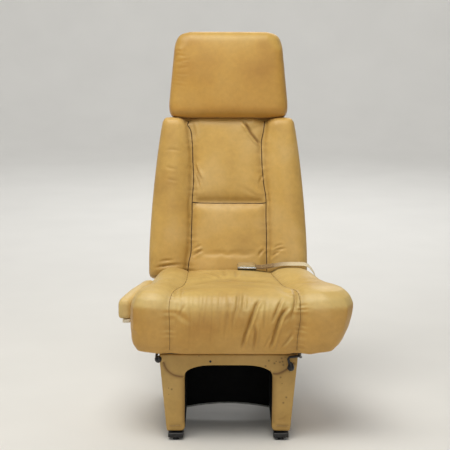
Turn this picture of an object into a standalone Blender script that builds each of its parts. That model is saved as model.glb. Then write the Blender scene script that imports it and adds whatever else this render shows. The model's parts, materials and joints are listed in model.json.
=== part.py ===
"""Aircraft cabin passenger seat: leather-covered pedestal on four track fittings, padded seat and
reclining back with bolsters, headrest on two posts, stowing armrest, recline and track levers, lap belt.

Metres, +Z up, the seat faces -Y. The sizes below are measured from the pedestal's middle, and the
whole seat hangs on one empty that puts the origin on the floor under the seat's own middle.
"""

import math

import bmesh
import bpy
from mathutils import Matrix, Vector

# How far the middle of the whole seat lies beside and behind the pedestal's middle
WIDTH_MIDDLE = 0.0200
DEPTH_MIDDLE = 0.0445

# Clearances
GAP = 0.0003
RUNNING = 0.0004
SOFT_GAP = 0.0008

# Track fittings and legs
TRACK_HALF = 0.140
FRONT_LEG_Y = -0.190
REAR_LEG_Y = 0.150
FOOT_LENGTH = 0.066
FOOT_WIDTH = 0.040
FOOT_HEIGHT = 0.020
STUD_RADIUS = 0.0088
STUD_NECK = 0.0050
STUD_HEAD = 0.0035
STUD_SPACING = 0.040
SOLE_Z = 0.008
LEG_SIZE = 0.028
LEG_TOP_HALF = 0.150
LEG_ROUND = 0.003

# Seat frame
RAIL_WIDTH = 0.025
RAIL_HEIGHT = 0.0295
RAIL_TOP = 0.2355
RAIL_FRONT_Y = -0.2035
RAIL_REAR_Y = 0.212
SILL_EDGE = 0.007
SILL_HEIGHT = 0.010
CROSS_RADIUS = 0.0125
FRONT_CROSS_Y = -0.178
REAR_CROSS_Z = 0.150
PAN_MARGIN = 0.009
PAN_FRONT_Y = -0.203
PAN_REAR_Y = 0.110
PAN_HEIGHT = 0.012
PAN_WALL = 0.0020
PAN_CORNER = 0.020
PAN_HOLE = 0.026
PAN_HOLE_STEP_X = 0.100
PAN_HOLE_STEP_Y = 0.100

# Pedestal covers
SHROUD_THICK = 0.012
SHROUD_BOTTOM = 0.024
FOOT_MARGIN = 0.004
COVER_SPACE = 0.0145
SHROUD_ROUND = 0.0035
HEM_ROUND = 0.010
ARCH_SPRING_Z = 0.179
ARCH_TOP_Z = 0.205
ARCH_FLAT_HALF = 0.045
SIDE_THICK = 0.006
SIDE_NOTCH = 0.003
SIDE_BOTTOM = 0.030
SIDE_REAR_Y = 0.190
LINER_THICK = 0.002
LINER_SPACE = 0.003
LINER_DROP = 0.0098
LINER_REAR_Y = 0.120
BAFFLE_Y = -0.030
BAFFLE_BOTTOM = 0.026
BAFFLE_RISE = 0.012
BAFFLE_THICK = 0.003
BAFFLE_SPACE = 0.0038
EDGE_HEIGHT = 0.004
EDGE_PROUD = 0.002

# Seat cushion
CUSHION_FRONT_Y = -0.262
CUSHION_REAR_Y = 0.1155
CUSHION_FRONT_HALF = 0.332
CUSHION_REAR_HALF = 0.243
RECESS_FRONT_HALF = 0.267
RECESS_REAR_HALF = 0.198
CUSHION_TUCK = 0.042
CUSHION_CORNER = 0.060
CUSHION_TOP_ROUND = 0.052
CUSHION_BOTTOM_ROUND = 0.026
CUSHION_REAR_SHARE = 0.35
CUSHION_CREST_Z = 0.404
CUSHION_REAR_Z = 0.394
CUSHION_DIP = 0.005
CUSHION_LIP = 0.008
LIP_FAR = 0.047
LIP_NEAR = 0.012
SEAT_BOLSTER_RISE = 0.010
SEAT_SEAM_DEPTH = 0.006
SEAT_SEAM_SPAN = 0.045
SEAT_SEAM_RIGHT = ((0.0, 0.186), (0.22, 0.164), (0.44, 0.150), (0.60, 0.136), (0.72, 0.124), (1.0, 0.112))
SEAT_SEAM_LEFT = ((0.0, 0.154), (0.08, 0.152), (0.20, 0.148), (0.28, 0.140), (0.52, 0.121), (1.0, 0.112))

# Back, in its own frame: x across, y to the rear, z up along the back from the hinge axis
HINGE_Y = 0.185
HINGE_Z = 0.335
LEAN = math.radians(12.0)
BACK_BOTTOM = 0.008
BACK_TOP = 0.476
BACK_LOW_HALF = 0.231
BACK_HIGH_HALF = 0.190
BACK_CURVE = 0.014
BACK_FRONT_Y = -0.071
BACK_REAR_Y = -0.0165
BACK_CORNER = 0.020
BACK_FRONT_ROUND = 0.024
BACK_REAR_ROUND = 0.004
BACK_RECESS = 0.015
BACK_LUMBAR = 0.090
BACK_SEAM_HALF = 0.104
BACK_SEAM_DEPTH = 0.010
BACK_SEAM_SPAN = 0.055
BACK_SEAM_RIGHT = ((0.0, 0.112), (0.17, 0.108), (0.27, 0.105), (0.36, 0.096), (0.42, 0.097), (0.48, 0.101))
BACK_SEAM_LEFT = ((0.0, 0.117), (0.06, 0.113), (0.25, 0.102), (0.33, 0.100), (0.40, 0.102), (0.47, 0.112))
BACK_CROSS_Z = 0.2308
BACK_CROSS_SPAN = 0.040
SHELL_REAR_Y = 0.042
SHELL_INSET = 0.004
SHELL_WALL = 0.003
SHELL_ROUND = 0.022
SHELL_BOTTOM = 0.032
SHELL_LIP = 0.005

# Back frame
TORQUE_RADIUS = 0.0125
SPIGOT_RADIUS = 0.0080
SPIGOT_LENGTH = 0.018
BRACKET_THICK = 0.008
BRACKET_HEAD = 0.0135
BRACKET_FOOT = 0.058
NUT_RADIUS = 0.0130
NUT_LENGTH = 0.011
TUBE_RADIUS = 0.011
TUBE_LOW_HALF = 0.120
TUBE_HIGH_HALF = 0.146
TUBE_BEND_LOW = 0.060
TUBE_BEND_HIGH = 0.120
TUBE_Y = 0.006
TUBE_TOP = 0.452
LOW_BAR_Z = 0.170
LOW_BAR_RADIUS = 0.008
HIGH_BAR_Z = 0.438
HIGH_BAR_DEPTH = 0.026
HIGH_BAR_HEIGHT = 0.018

# Headrest
POST_HALF = 0.060
POST_RADIUS = 0.006
POST_LOW = 0.335
POST_HIGH = 0.565
GUIDE_WALL = 0.0035
GUIDE_FLANGE = 0.0030
GUIDE_FLANGE_WIDTH = 0.0020
GUIDE_LENGTH = 0.054
HEAD_BOTTOM = 0.4805
HEAD_TOP = 0.722
HEAD_LOW_HALF = 0.175
HEAD_HIGH_HALF = 0.152
HEAD_FRONT_Y = -0.076
HEAD_REAR_Y = 0.024
HEAD_CORNER = 0.026
HEAD_ROUND = 0.020
HEAD_CROWN = 0.006
CORE_HALF = 0.115
CORE_TOP = 0.655
CORE_FRONT_Y = -0.006
CORE_REAR_Y = 0.014

# Armrest on the -X side
ARMREST_WIDTH = 0.038
ARMREST_GAP = 0.003
ARMREST_FRONT_Y = -0.172
ARMREST_REAR_Y = 0.106
ARMREST_TOP = 0.374
ARMREST_BOTTOM = 0.318
ARMREST_DROP = 0.012
ARMREST_ROUND = 0.014
ARM_PLATE_WIDTH = 0.020
ARM_PLATE_HEIGHT = 0.010
STEM_X_SIZE = 0.010
STEM_Y_SIZE = 0.036
STEM_Y = 0.060
STEM_BOTTOM = 0.178
SLEEVE_WALL = 0.005
SLEEVE_BOTTOM = 0.180
SLEEVE_TOP = 0.300
ARM_BRACKET_HEIGHT = 0.024
RELEASE_RADIUS = 0.004
RELEASE_Z = 0.262
RELEASE_REACH = 0.018
RELEASE_KNOB = 0.008

# Recline strut and its lever
ARM_LENGTH = 0.125
ARM_SPACE = 0.006
ARM_LEAN = math.radians(15.0)
ARM_THICK = 0.006
ARM_HEAD = 0.020
ARM_TIP = 0.009
PIVOT_RADIUS = 0.004
PIVOT_SLOT = 0.0048
CYLINDER_RADIUS = 0.0125
CYLINDER_FRONT_Y = -0.030
CYLINDER_REAR_Y = 0.120
CYLINDER_CAP = 0.010
ROD_RADIUS = 0.0050
ROD_TAIL = 0.050
FORK_THICK = 0.0040
FORK_RADIUS = 0.0125
FORK_BASE = 0.022
FORK_CHEEK_GAP = 0.0006
CLAMP_THICK = 0.008
VALVE_RADIUS = 0.0030
VALVE_REACH = 0.0205
RECLINE_SHAFT_Y = -0.055
RECLINE_SHAFT_Z = 0.226
SHAFT_RADIUS = 0.0045
FINGER_THICK = 0.008
FINGER_WIDTH = 0.010
LEVER_STANDOFF = 0.007
LEVER_RADIUS = 0.0035
LEVER_BOSS = 0.0085
LEVER_BOSS_LENGTH = 0.012
KNOB_Y = -0.236
KNOB_RADIUS = 0.0095
RECLINE_KNOB_Z = 0.2285
RECLINE_KNOB_INSET = 0.006

# Track lock and its lever
TRACK_SHAFT_Y = -0.130
TRACK_SHAFT_Z = 0.215
TRACK_KNOB_DROP = 0.026
TRACK_CROOK_Z = 0.2355
TRACK_KNOB_INSET = 0.027
PLUNGER_STANDOFF = 0.0095
PLUNGER_Y = -0.075
PLUNGER_RADIUS = 0.0040
PLUNGER_HEAD = 0.0080
PLUNGER_HEAD_HEIGHT = 0.003
PLUNGER_TIP_Z = 0.003
LIFT_ARM_THICK = 0.0034
LIFT_ARM_HEIGHT = 0.008
LIFT_ARM_TAIL = 0.006

# Lap belt on the +X side
BELT_WIDTH = 0.044
BELT_THICK = 0.0020
BELT_Y = 0.094
BELT_INNER_X = 0.080
BELT_LOW_Z = 0.268
BELT_STEPS = 14
BELT_LIFT = 0.0045
BELT_SHOULDER = 0.70
ANCHOR_HEIGHT = 0.012
ANCHOR_WIDTH = 0.036
ANCHOR_THICK = 0.004
BUCKLE_LENGTH = 0.054
BUCKLE_HEIGHT = 0.008
BUCKLE_COVER_HEIGHT = 0.0045
BUCKLE_HINGE_RADIUS = 0.0022
BUCKLE_PIN_INSET = 0.006

HINGE = Vector((0.0, HINGE_Y, HINGE_Z))
RAIL_BOTTOM = RAIL_TOP - RAIL_HEIGHT
RAIL_INNER = LEG_TOP_HALF - 0.5 * RAIL_WIDTH
RAIL_OUTER = LEG_TOP_HALF + 0.5 * RAIL_WIDTH
SHROUD_FOOT_HALF = TRACK_HALF + 0.5 * FOOT_WIDTH + FOOT_MARGIN
SHROUD_TOP_HALF = RAIL_OUTER + COVER_SPACE + SIDE_THICK
PAN_HALF = SHROUD_TOP_HALF + PAN_MARGIN
LEVER_X = SHROUD_TOP_HALF + LEVER_STANDOFF
PLUNGER_X = RAIL_INNER - PLUNGER_STANDOFF
ARCH_HALF = min(PLUNGER_X - PLUNGER_HEAD, TRACK_HALF - 0.5 * LEG_SIZE) - LINER_SPACE - LINER_THICK
PAN_BOTTOM = RAIL_TOP + GAP
PAN_TOP = PAN_BOTTOM + PAN_HEIGHT
CUSHION_BOTTOM = PAN_TOP + SOFT_GAP
SHROUD_BACK_Y = min(RAIL_FRONT_Y, FRONT_LEG_Y - 0.5 * LEG_SIZE) - 2.0 * GAP
STRUT_X = -(TUBE_LOW_HALF - TUBE_RADIUS - ARM_SPACE - 0.5 * ARM_THICK)
STRUT_Z = HINGE_Z - ARM_LENGTH * math.cos(ARM_LEAN)
LINER_TOP = min(ARCH_TOP_Z, STRUT_Z - LINER_DROP)
BAFFLE_TOP = min(ARCH_TOP_Z, STRUT_Z - CYLINDER_RADIUS) - BAFFLE_SPACE
STRUT_PIN_Y = HINGE_Y + ARM_LENGTH * math.sin(ARM_LEAN)
STRUT_DROP = ARM_LENGTH * (1.0 - math.cos(ARM_LEAN))
GUIDE_OUTER = POST_RADIUS + RUNNING + GUIDE_WALL
BACK_CROSS_W = math.asin(2.0 * (BACK_CROSS_Z - BACK_BOTTOM) / (BACK_TOP - BACK_BOTTOM) - 1.0) * 2.0 / math.pi
SLEEVE_ARM_HALF = 0.6 * STEM_Y_SIZE
SIDE_NOTCHES = {
    "left": (
        (RECLINE_SHAFT_Y - SHAFT_RADIUS, RECLINE_SHAFT_Y + SHAFT_RADIUS, RECLINE_SHAFT_Z - SHAFT_RADIUS),
        (STEM_Y - SLEEVE_ARM_HALF, STEM_Y + SLEEVE_ARM_HALF, RAIL_TOP - ARM_BRACKET_HEIGHT),
    ),
    "right": (
        (TRACK_SHAFT_Y - SHAFT_RADIUS, TRACK_SHAFT_Y + SHAFT_RADIUS, TRACK_SHAFT_Z - SHAFT_RADIUS),
        (BELT_Y - 0.5 * ANCHOR_WIDTH, BELT_Y + 0.5 * ANCHOR_WIDTH, RAIL_TOP - ANCHOR_HEIGHT),
    ),
}


def smooth(low, high, value):
    """Soft step from 0 at low to 1 at high."""
    t = max(0.0, min(1.0, (value - low) / (high - low)))
    return t * t * (3.0 - 2.0 * t)


def mix(a, b, t):
    return a + (b - a) * t


def clear_scene():
    for obj in list(bpy.data.objects):
        bpy.data.objects.remove(obj, do_unlink=True)


def collection(name):
    made = bpy.data.collections.new(name)
    bpy.context.scene.collection.children.link(made)
    return made


def material(name, colour, roughness, metallic=0.0):
    made = bpy.data.materials.new(name)
    made.use_nodes = True
    shader = made.node_tree.nodes["Principled BSDF"]
    shader.inputs["Base Color"].default_value = (*colour, 1.0)
    shader.inputs["Roughness"].default_value = roughness
    shader.inputs["Metallic"].default_value = metallic
    return made


clear_scene()
SEAT = collection("aircraft_passenger_seat")
CUTTERS = collection("cutters")

FINISHES = {
    "leather": ((0.57, 0.36, 0.10), 0.45, 0.0),
    "covered_panel": ((0.50, 0.30, 0.10), 0.55, 0.0),
    "dark_sheet": ((0.012, 0.012, 0.012), 0.6, 0.0),
    "black_steel": ((0.02, 0.02, 0.02), 0.4, 0.9),
    "frame_alloy": ((0.40, 0.41, 0.42), 0.4, 0.9),
    "zinc_steel": ((0.55, 0.54, 0.50), 0.35, 1.0),
    "chrome": ((0.75, 0.75, 0.76), 0.12, 1.0),
    "black_plastic": ((0.015, 0.015, 0.015), 0.35, 0.0),
    "cream_plastic": ((0.80, 0.76, 0.66), 0.4, 0.0),
    "webbing": ((0.75, 0.58, 0.32), 0.8, 0.0),
}


def finish(obj, name, finish_name):
    """Names an object's own material for its finish and puts the object with the seat's pieces."""
    obj.name = name
    obj.data.name = name
    obj.data.materials.clear()
    obj.data.materials.append(material(name + "_" + finish_name, *FINISHES[finish_name]))
    for old in list(obj.users_collection):
        old.objects.unlink(obj)
    SEAT.objects.link(obj)
    return obj


def mesh_object(name, bm):
    mesh = bpy.data.meshes.new(name)
    bm.to_mesh(mesh)
    bm.free()
    obj = bpy.data.objects.new(name, mesh)
    bpy.context.scene.collection.objects.link(obj)
    return obj


def block(name, low, high):
    """Box between two opposite corners."""
    bm = bmesh.new()
    bmesh.ops.create_cube(bm, size=1.0)
    centre = [0.5 * (a + b) for a, b in zip(low, high)]
    size = [abs(b - a) for a, b in zip(low, high)]
    for vert in bm.verts:
        vert.co = Vector([c + s * v for c, s, v in zip(centre, size, vert.co)])
    return mesh_object(name, bm)


def rod(name, start, end, radius, end_radius=None, sides=16):
    """Cylinder or cone between two points."""
    start, end = Vector(start), Vector(end)
    bm = bmesh.new()
    bmesh.ops.create_cone(
        bm,
        cap_ends=True,
        segments=sides,
        radius1=radius,
        radius2=radius if end_radius is None else end_radius,
        depth=(end - start).length,
    )
    turn = (end - start).to_track_quat("Z", "Y").to_matrix().to_4x4()
    bm.transform(Matrix.Translation(0.5 * (start + end)) @ turn)
    obj = mesh_object(name, bm)
    shade_round(obj)
    return obj


def shade_round(obj, angle=math.radians(35.0)):
    obj.data.shade_smooth()
    obj.data.set_sharp_from_angle(angle=angle)


def leaning_post(name, foot, head, size):
    """Square tube with level ends between two end centres."""
    bm = bmesh.new()
    bmesh.ops.create_cube(bm, size=1.0)
    for vert in bm.verts:
        centre = Vector(head) if vert.co.z > 0.0 else Vector(foot)
        vert.co = centre + Vector((vert.co.x * size, vert.co.y * size, 0.0))
    return mesh_object(name, bm)


def bevel(obj, width, segments=2, angle=math.radians(40.0)):
    mod = obj.modifiers.new("edges", "BEVEL")
    mod.width = width
    mod.segments = segments
    mod.limit_method = "ANGLE"
    mod.angle_limit = angle
    return obj


def boolean(obj, other, operation):
    """Cuts or joins with a helper solid, which goes with the cutters."""
    mod = obj.modifiers.new(other.name, "BOOLEAN")
    mod.operation = operation
    mod.object = other
    for old in list(other.users_collection):
        old.objects.unlink(other)
    CUTTERS.objects.link(other)
    other.hide_render = True
    other.display_type = "WIRE"
    return obj


def cut(obj, other):
    return boolean(obj, other, "DIFFERENCE")


def join(obj, other):
    return boolean(obj, other, "UNION")


def curve_to_mesh(obj):
    """Mesh of a curve with its caps welded on."""
    bpy.context.view_layer.update()
    mesh = bpy.data.meshes.new_from_object(obj.evaluated_get(bpy.context.evaluated_depsgraph_get()))
    bm = bmesh.new()
    bm.from_mesh(mesh)
    bmesh.ops.remove_doubles(bm, verts=bm.verts[:], dist=1e-6)
    bm.to_mesh(mesh)
    bm.free()
    name, place = obj.name, obj.matrix_world.copy()
    bpy.data.objects.remove(obj, do_unlink=True)
    made = bpy.data.objects.new(name, mesh)
    made.matrix_world = place
    bpy.context.scene.collection.objects.link(made)
    return made


def flat_outline(name, loops, low, high, plane):
    """Sheet with the given closed outlines, from low to high along the axis that plane leaves out."""
    data = bpy.data.curves.new(name, "CURVE")
    data.dimensions = "2D"
    data.fill_mode = "BOTH"
    data.extrude = 0.5 * (high - low)
    for loop in loops:
        spline = data.splines.new("POLY")
        spline.points.add(len(loop) - 1)
        for point, (a, b) in zip(spline.points, loop):
            point.co = (a, b, 0.0, 1.0)
        spline.use_cyclic_u = True
    obj = bpy.data.objects.new(name, data)
    bpy.context.scene.collection.objects.link(obj)
    middle = 0.5 * (low + high)
    turns = {
        "XY": Matrix.Identity(4),
        "XZ": Matrix(((1, 0, 0, 0), (0, 0, -1, 0), (0, 1, 0, 0), (0, 0, 0, 1))),
        "YZ": Matrix(((0, 0, 1, 0), (1, 0, 0, 0), (0, 1, 0, 0), (0, 0, 0, 1))),
    }
    shifts = {"XY": (0, 0, middle), "XZ": (0, middle, 0), "YZ": (middle, 0, 0)}
    obj.matrix_world = Matrix.Translation(shifts[plane]) @ turns[plane]
    return curve_to_mesh(obj)


def bent_tube(name, points, radius, resolution=2):
    """Round bar along a line of points, with filled ends."""
    data = bpy.data.curves.new(name, "CURVE")
    data.dimensions = "3D"
    data.bevel_depth = radius
    data.bevel_resolution = resolution
    data.use_fill_caps = True
    spline = data.splines.new("POLY")
    spline.points.add(len(points) - 1)
    for point, place in zip(spline.points, points):
        point.co = (*place, 1.0)
    obj = bpy.data.objects.new(name, data)
    bpy.context.scene.collection.objects.link(obj)
    obj = curve_to_mesh(obj)
    shade_round(obj)
    return obj


def arc(centre, radius, start, end, steps):
    """Points of an arc, angles in degrees."""
    points = []
    for step in range(steps + 1):
        angle = math.radians(mix(start, end, step / steps))
        points.append((centre[0] + radius * math.cos(angle), centre[1] + radius * math.sin(angle)))
    return points


def rounded_rectangle(half_x, low_y, high_y, radius, steps=4):
    corners = (
        (half_x - radius, high_y - radius, 0),
        (-half_x + radius, high_y - radius, 90),
        (-half_x + radius, low_y + radius, 180),
        (half_x - radius, low_y + radius, 270),
    )
    points = []
    for x, y, start in corners:
        points += arc((x, y), radius, start, start + 90, steps)
    return points


def pillow(u, w, t, half_u, half_w, half_t, corner, top_round, bottom_round, rear_share=1.0):
    """Point of a padded form from a point of a cube: u and w across its face, t through it."""
    x, z, y = (h * math.sin(0.5 * math.pi * k) for h, k in ((half_u, u), (half_w, w), (half_t, t)))
    beyond_x = abs(x) - (half_u - corner)
    beyond_z = abs(z) - (half_w - corner)
    if beyond_x > 0.0 and beyond_z > 0.0:
        reach = max(beyond_x, beyond_z) / math.hypot(beyond_x, beyond_z)
        x = math.copysign(half_u - corner + beyond_x * reach, x)
        z = math.copysign(half_w - corner + beyond_z * reach, z)
    radius = top_round if y > 0.0 else bottom_round
    depth = abs(y) - (half_t - radius)
    if depth > 0.0:
        inset = radius - math.sqrt(max(0.0, radius * radius - depth * depth))
        x *= 1.0 - inset / half_u
        z *= 1.0 - inset * (rear_share if z > 0.0 else 1.0) / half_w
    return x, y, z


def padded_form(name, cuts, shape, lines=()):
    """Closed soft form: a cube's finely divided faces, cut also along lines, each point placed by shape."""
    bm = bmesh.new()
    bmesh.ops.create_cube(bm, size=2.0)
    bmesh.ops.subdivide_edges(bm, edges=bm.edges[:], cuts=cuts, use_grid_fill=True)
    for axis, value in lines:
        place, across = Vector(), Vector()
        place[axis], across[axis] = value, 1.0
        geometry = bm.verts[:] + bm.edges[:] + bm.faces[:]
        bmesh.ops.bisect_plane(bm, geom=geometry, plane_co=place, plane_no=across)
    for vert in bm.verts:
        vert.co = Vector(shape(*vert.co))
    obj = mesh_object(name, bm)
    obj.data.shade_smooth()
    return obj


def joint_axis(name, place, parent=None, turn=(0.0, 0.0, 0.0)):
    """Empty on a joint's axis, which carries the pieces that move with it."""
    empty = bpy.data.objects.new(name, None)
    empty.empty_display_size = 0.03
    SEAT.objects.link(empty)
    empty.parent = parent
    empty.location = place
    empty.rotation_euler = turn
    return empty


def pedestal_matrix(empty):
    """Place of a joint's empty as measured from the pedestal's middle."""
    own = Matrix.LocRotScale(empty.location, empty.rotation_euler, None)
    return pedestal_matrix(empty.parent) @ own if empty.parent else own


def hang(empty, *objects):
    """Parents pieces made in world places to a joint's empty."""
    for obj in objects:
        obj.parent = empty
        obj.matrix_parent_inverse = pedestal_matrix(empty).inverted()


def between(rows, place):
    """Value at a place along a table of (place, value) rows."""
    for (low, first), (high, second) in zip(rows, rows[1:]):
        if place <= high:
            return mix(first, second, max(0.0, place - low) / (high - low))
    return rows[-1][1]


def seam_lines(span):
    """Cuts through a form's cube beside its two lengthwise seams, which lie a third of the way out."""
    return [(0, side * (1.0 / 3.0 + turn * span)) for side in (-1, 1) for turn in (-1, 1)]


def toward_seam(u, half, seam):
    """Shift that brings the points a third of the way out onto the seam."""
    share = 3.0 * abs(u) if abs(u) < 1.0 / 3.0 else 1.5 * (1.0 - abs(u))
    return math.copysign(seam - 0.5 * half, u) * share


def ridge(value, middle, span):
    return max(0.0, 1.0 - abs(value - middle) / span)


def cushion_half(y, side):
    """Half-width of the seat cushion at y, on the +X side (1) or beside the armrest (-1)."""
    along = (y - CUSHION_FRONT_Y) / (CUSHION_REAR_Y - CUSHION_FRONT_Y)
    if side < 0:
        return mix(RECESS_FRONT_HALF, RECESS_REAR_HALF, along)
    return mix(CUSHION_FRONT_HALF, CUSHION_REAR_HALF, smooth(0.15, 1.0, along))


def cushion_top(x, y):
    """Height of the seat cushion's top face, before its edges turn over."""
    along = (y - CUSHION_FRONT_Y) / (CUSHION_REAR_Y - CUSHION_FRONT_Y)
    height = mix(CUSHION_CREST_Z, CUSHION_REAR_Z, smooth(0.20, 0.55, along))
    height -= CUSHION_DIP * math.exp(-(((along - 0.50) / 0.16) ** 2))
    seam = between(SEAT_SEAM_LEFT if x < 0.0 else SEAT_SEAM_RIGHT, along)
    return height + SEAT_BOLSTER_RISE * smooth(seam - 0.02, seam + 0.05, abs(x))


def cushion_point(u, v, w):
    half_y = 0.5 * (CUSHION_REAR_Y - CUSHION_FRONT_Y)
    half_z = 0.5 * (CUSHION_CREST_Z - CUSHION_BOTTOM)
    x, z, y = pillow(
        u,
        v,
        w,
        CUSHION_FRONT_HALF,
        half_y,
        half_z,
        CUSHION_CORNER,
        CUSHION_TOP_ROUND,
        CUSHION_BOTTOM_ROUND,
        CUSHION_REAR_SHARE,
    )
    y += CUSHION_FRONT_Y + half_y
    height = 0.5 * (z / half_z + 1.0)
    tuck = CUSHION_TUCK * (1.0 - height) ** 2 if x > 0.0 else 0.0
    half = cushion_half(y, x) - tuck
    x *= half / CUSHION_FRONT_HALF
    along = (y - CUSHION_FRONT_Y) / (CUSHION_REAR_Y - CUSHION_FRONT_Y)
    seam = between(SEAT_SEAM_LEFT if x < 0.0 else SEAT_SEAM_RIGHT, along)
    x += toward_seam(u, half, seam * mix(0.95, 1.0, height))
    groove = SEAT_SEAM_DEPTH * ridge(abs(u), 1.0 / 3.0, SEAT_SEAM_SPAN)
    if v < -0.999:
        y += groove * smooth(-1.0, -0.7, w)
    lip = CUSHION_LIP * (1.0 - smooth(PAN_FRONT_Y - LIP_FAR, PAN_FRONT_Y - LIP_NEAR, y))
    floor = CUSHION_BOTTOM - lip
    return x, y, mix(floor, cushion_top(x, y), height) - (groove if w > 0.999 else 0.0)


def back_half(z):
    """Half-width of the back at height z along it."""
    along = (z - BACK_BOTTOM) / (BACK_TOP - BACK_BOTTOM)
    return mix(BACK_LOW_HALF, BACK_HIGH_HALF, along) + BACK_CURVE * 4.0 * along * (1.0 - along) * 0.6


def back_point(u, v, w):
    half_y = 0.5 * (BACK_REAR_Y - BACK_FRONT_Y)
    half_z = 0.5 * (BACK_TOP - BACK_BOTTOM)
    x, y, z = pillow(
        u, w, -v, BACK_LOW_HALF, half_z, half_y, BACK_CORNER, BACK_FRONT_ROUND, BACK_REAR_ROUND
    )
    z += BACK_BOTTOM + half_z
    half = back_half(z)
    x *= half / BACK_LOW_HALF
    x += toward_seam(u, half, between(BACK_SEAM_LEFT if x < 0.0 else BACK_SEAM_RIGHT, z))
    front = 0.5 * (y / half_y + 1.0)
    recess = BACK_RECESS * (1.0 - smooth(BACK_SEAM_HALF - 0.015, BACK_SEAM_HALF + 0.030, abs(x)))
    recess *= smooth(BACK_BOTTOM, BACK_BOTTOM + BACK_LUMBAR, z)
    groove = ridge(abs(u), 1.0 / 3.0, BACK_SEAM_SPAN)
    if abs(u) < 0.34:
        groove = max(groove, ridge(w, BACK_CROSS_W, BACK_CROSS_SPAN))
    recess += BACK_SEAM_DEPTH * groove
    return x, mix(BACK_REAR_Y, BACK_FRONT_Y + recess, front), z


def shell_point(u, v, w):
    half_y = 0.5 * (SHELL_REAR_Y - BACK_REAR_Y)
    half_z = 0.5 * (BACK_TOP - SHELL_BOTTOM)
    x, y, z = pillow(u, w, v, BACK_LOW_HALF, half_z, half_y, BACK_CORNER, SHELL_ROUND, 0.001)
    z += SHELL_BOTTOM + half_z
    x *= (back_half(z) - SHELL_INSET) / BACK_LOW_HALF
    return x, y + BACK_REAR_Y + GAP + half_y, z


def head_point(u, v, w):
    half_y = 0.5 * (HEAD_REAR_Y - HEAD_FRONT_Y)
    half_z = 0.5 * (HEAD_TOP - HEAD_BOTTOM)
    x, y, z = pillow(u, w, -v, HEAD_LOW_HALF, half_z, half_y, HEAD_CORNER, HEAD_ROUND, HEAD_ROUND)
    along = 0.5 * (z / half_z + 1.0)
    x *= mix(HEAD_LOW_HALF, HEAD_HIGH_HALF, along) / HEAD_LOW_HALF
    crown = HEAD_CROWN * (1.0 - (x / HEAD_LOW_HALF) ** 2) * max(0.0, y / half_y)
    centre_y = 0.5 * (HEAD_FRONT_Y + HEAD_REAR_Y)
    return x, centre_y - y + (HEAD_CROWN - crown) * (y > 0.0) * y / half_y, z + HEAD_BOTTOM + half_z


def track_fitting(name, side, leg_y):
    """Steel shoe under a leg, with two mushroom studs for the floor track."""
    x = side * TRACK_HALF
    body = block(
        name,
        (x - 0.5 * FOOT_WIDTH, leg_y - 0.5 * FOOT_LENGTH, SOLE_Z),
        (x + 0.5 * FOOT_WIDTH, leg_y + 0.5 * FOOT_LENGTH, FOOT_HEIGHT - GAP),
    )
    bevel(body, 0.0012, 1)
    for end in (-1, 1):
        y = leg_y + end * 0.5 * STUD_SPACING
        neck_ends = (x, y, 0.5 * STUD_HEAD), (x, y, SOLE_Z + 0.002)
        neck = rod(f"{name}_neck_{end}", *neck_ends, STUD_NECK, sides=12)
        head = rod(f"{name}_head_{end}", (x, y, 0.0), (x, y, STUD_HEAD), STUD_RADIUS, STUD_RADIUS * 0.8, 16)
        join(body, neck)
        join(body, head)
    return finish(body, name, "black_steel")


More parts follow.
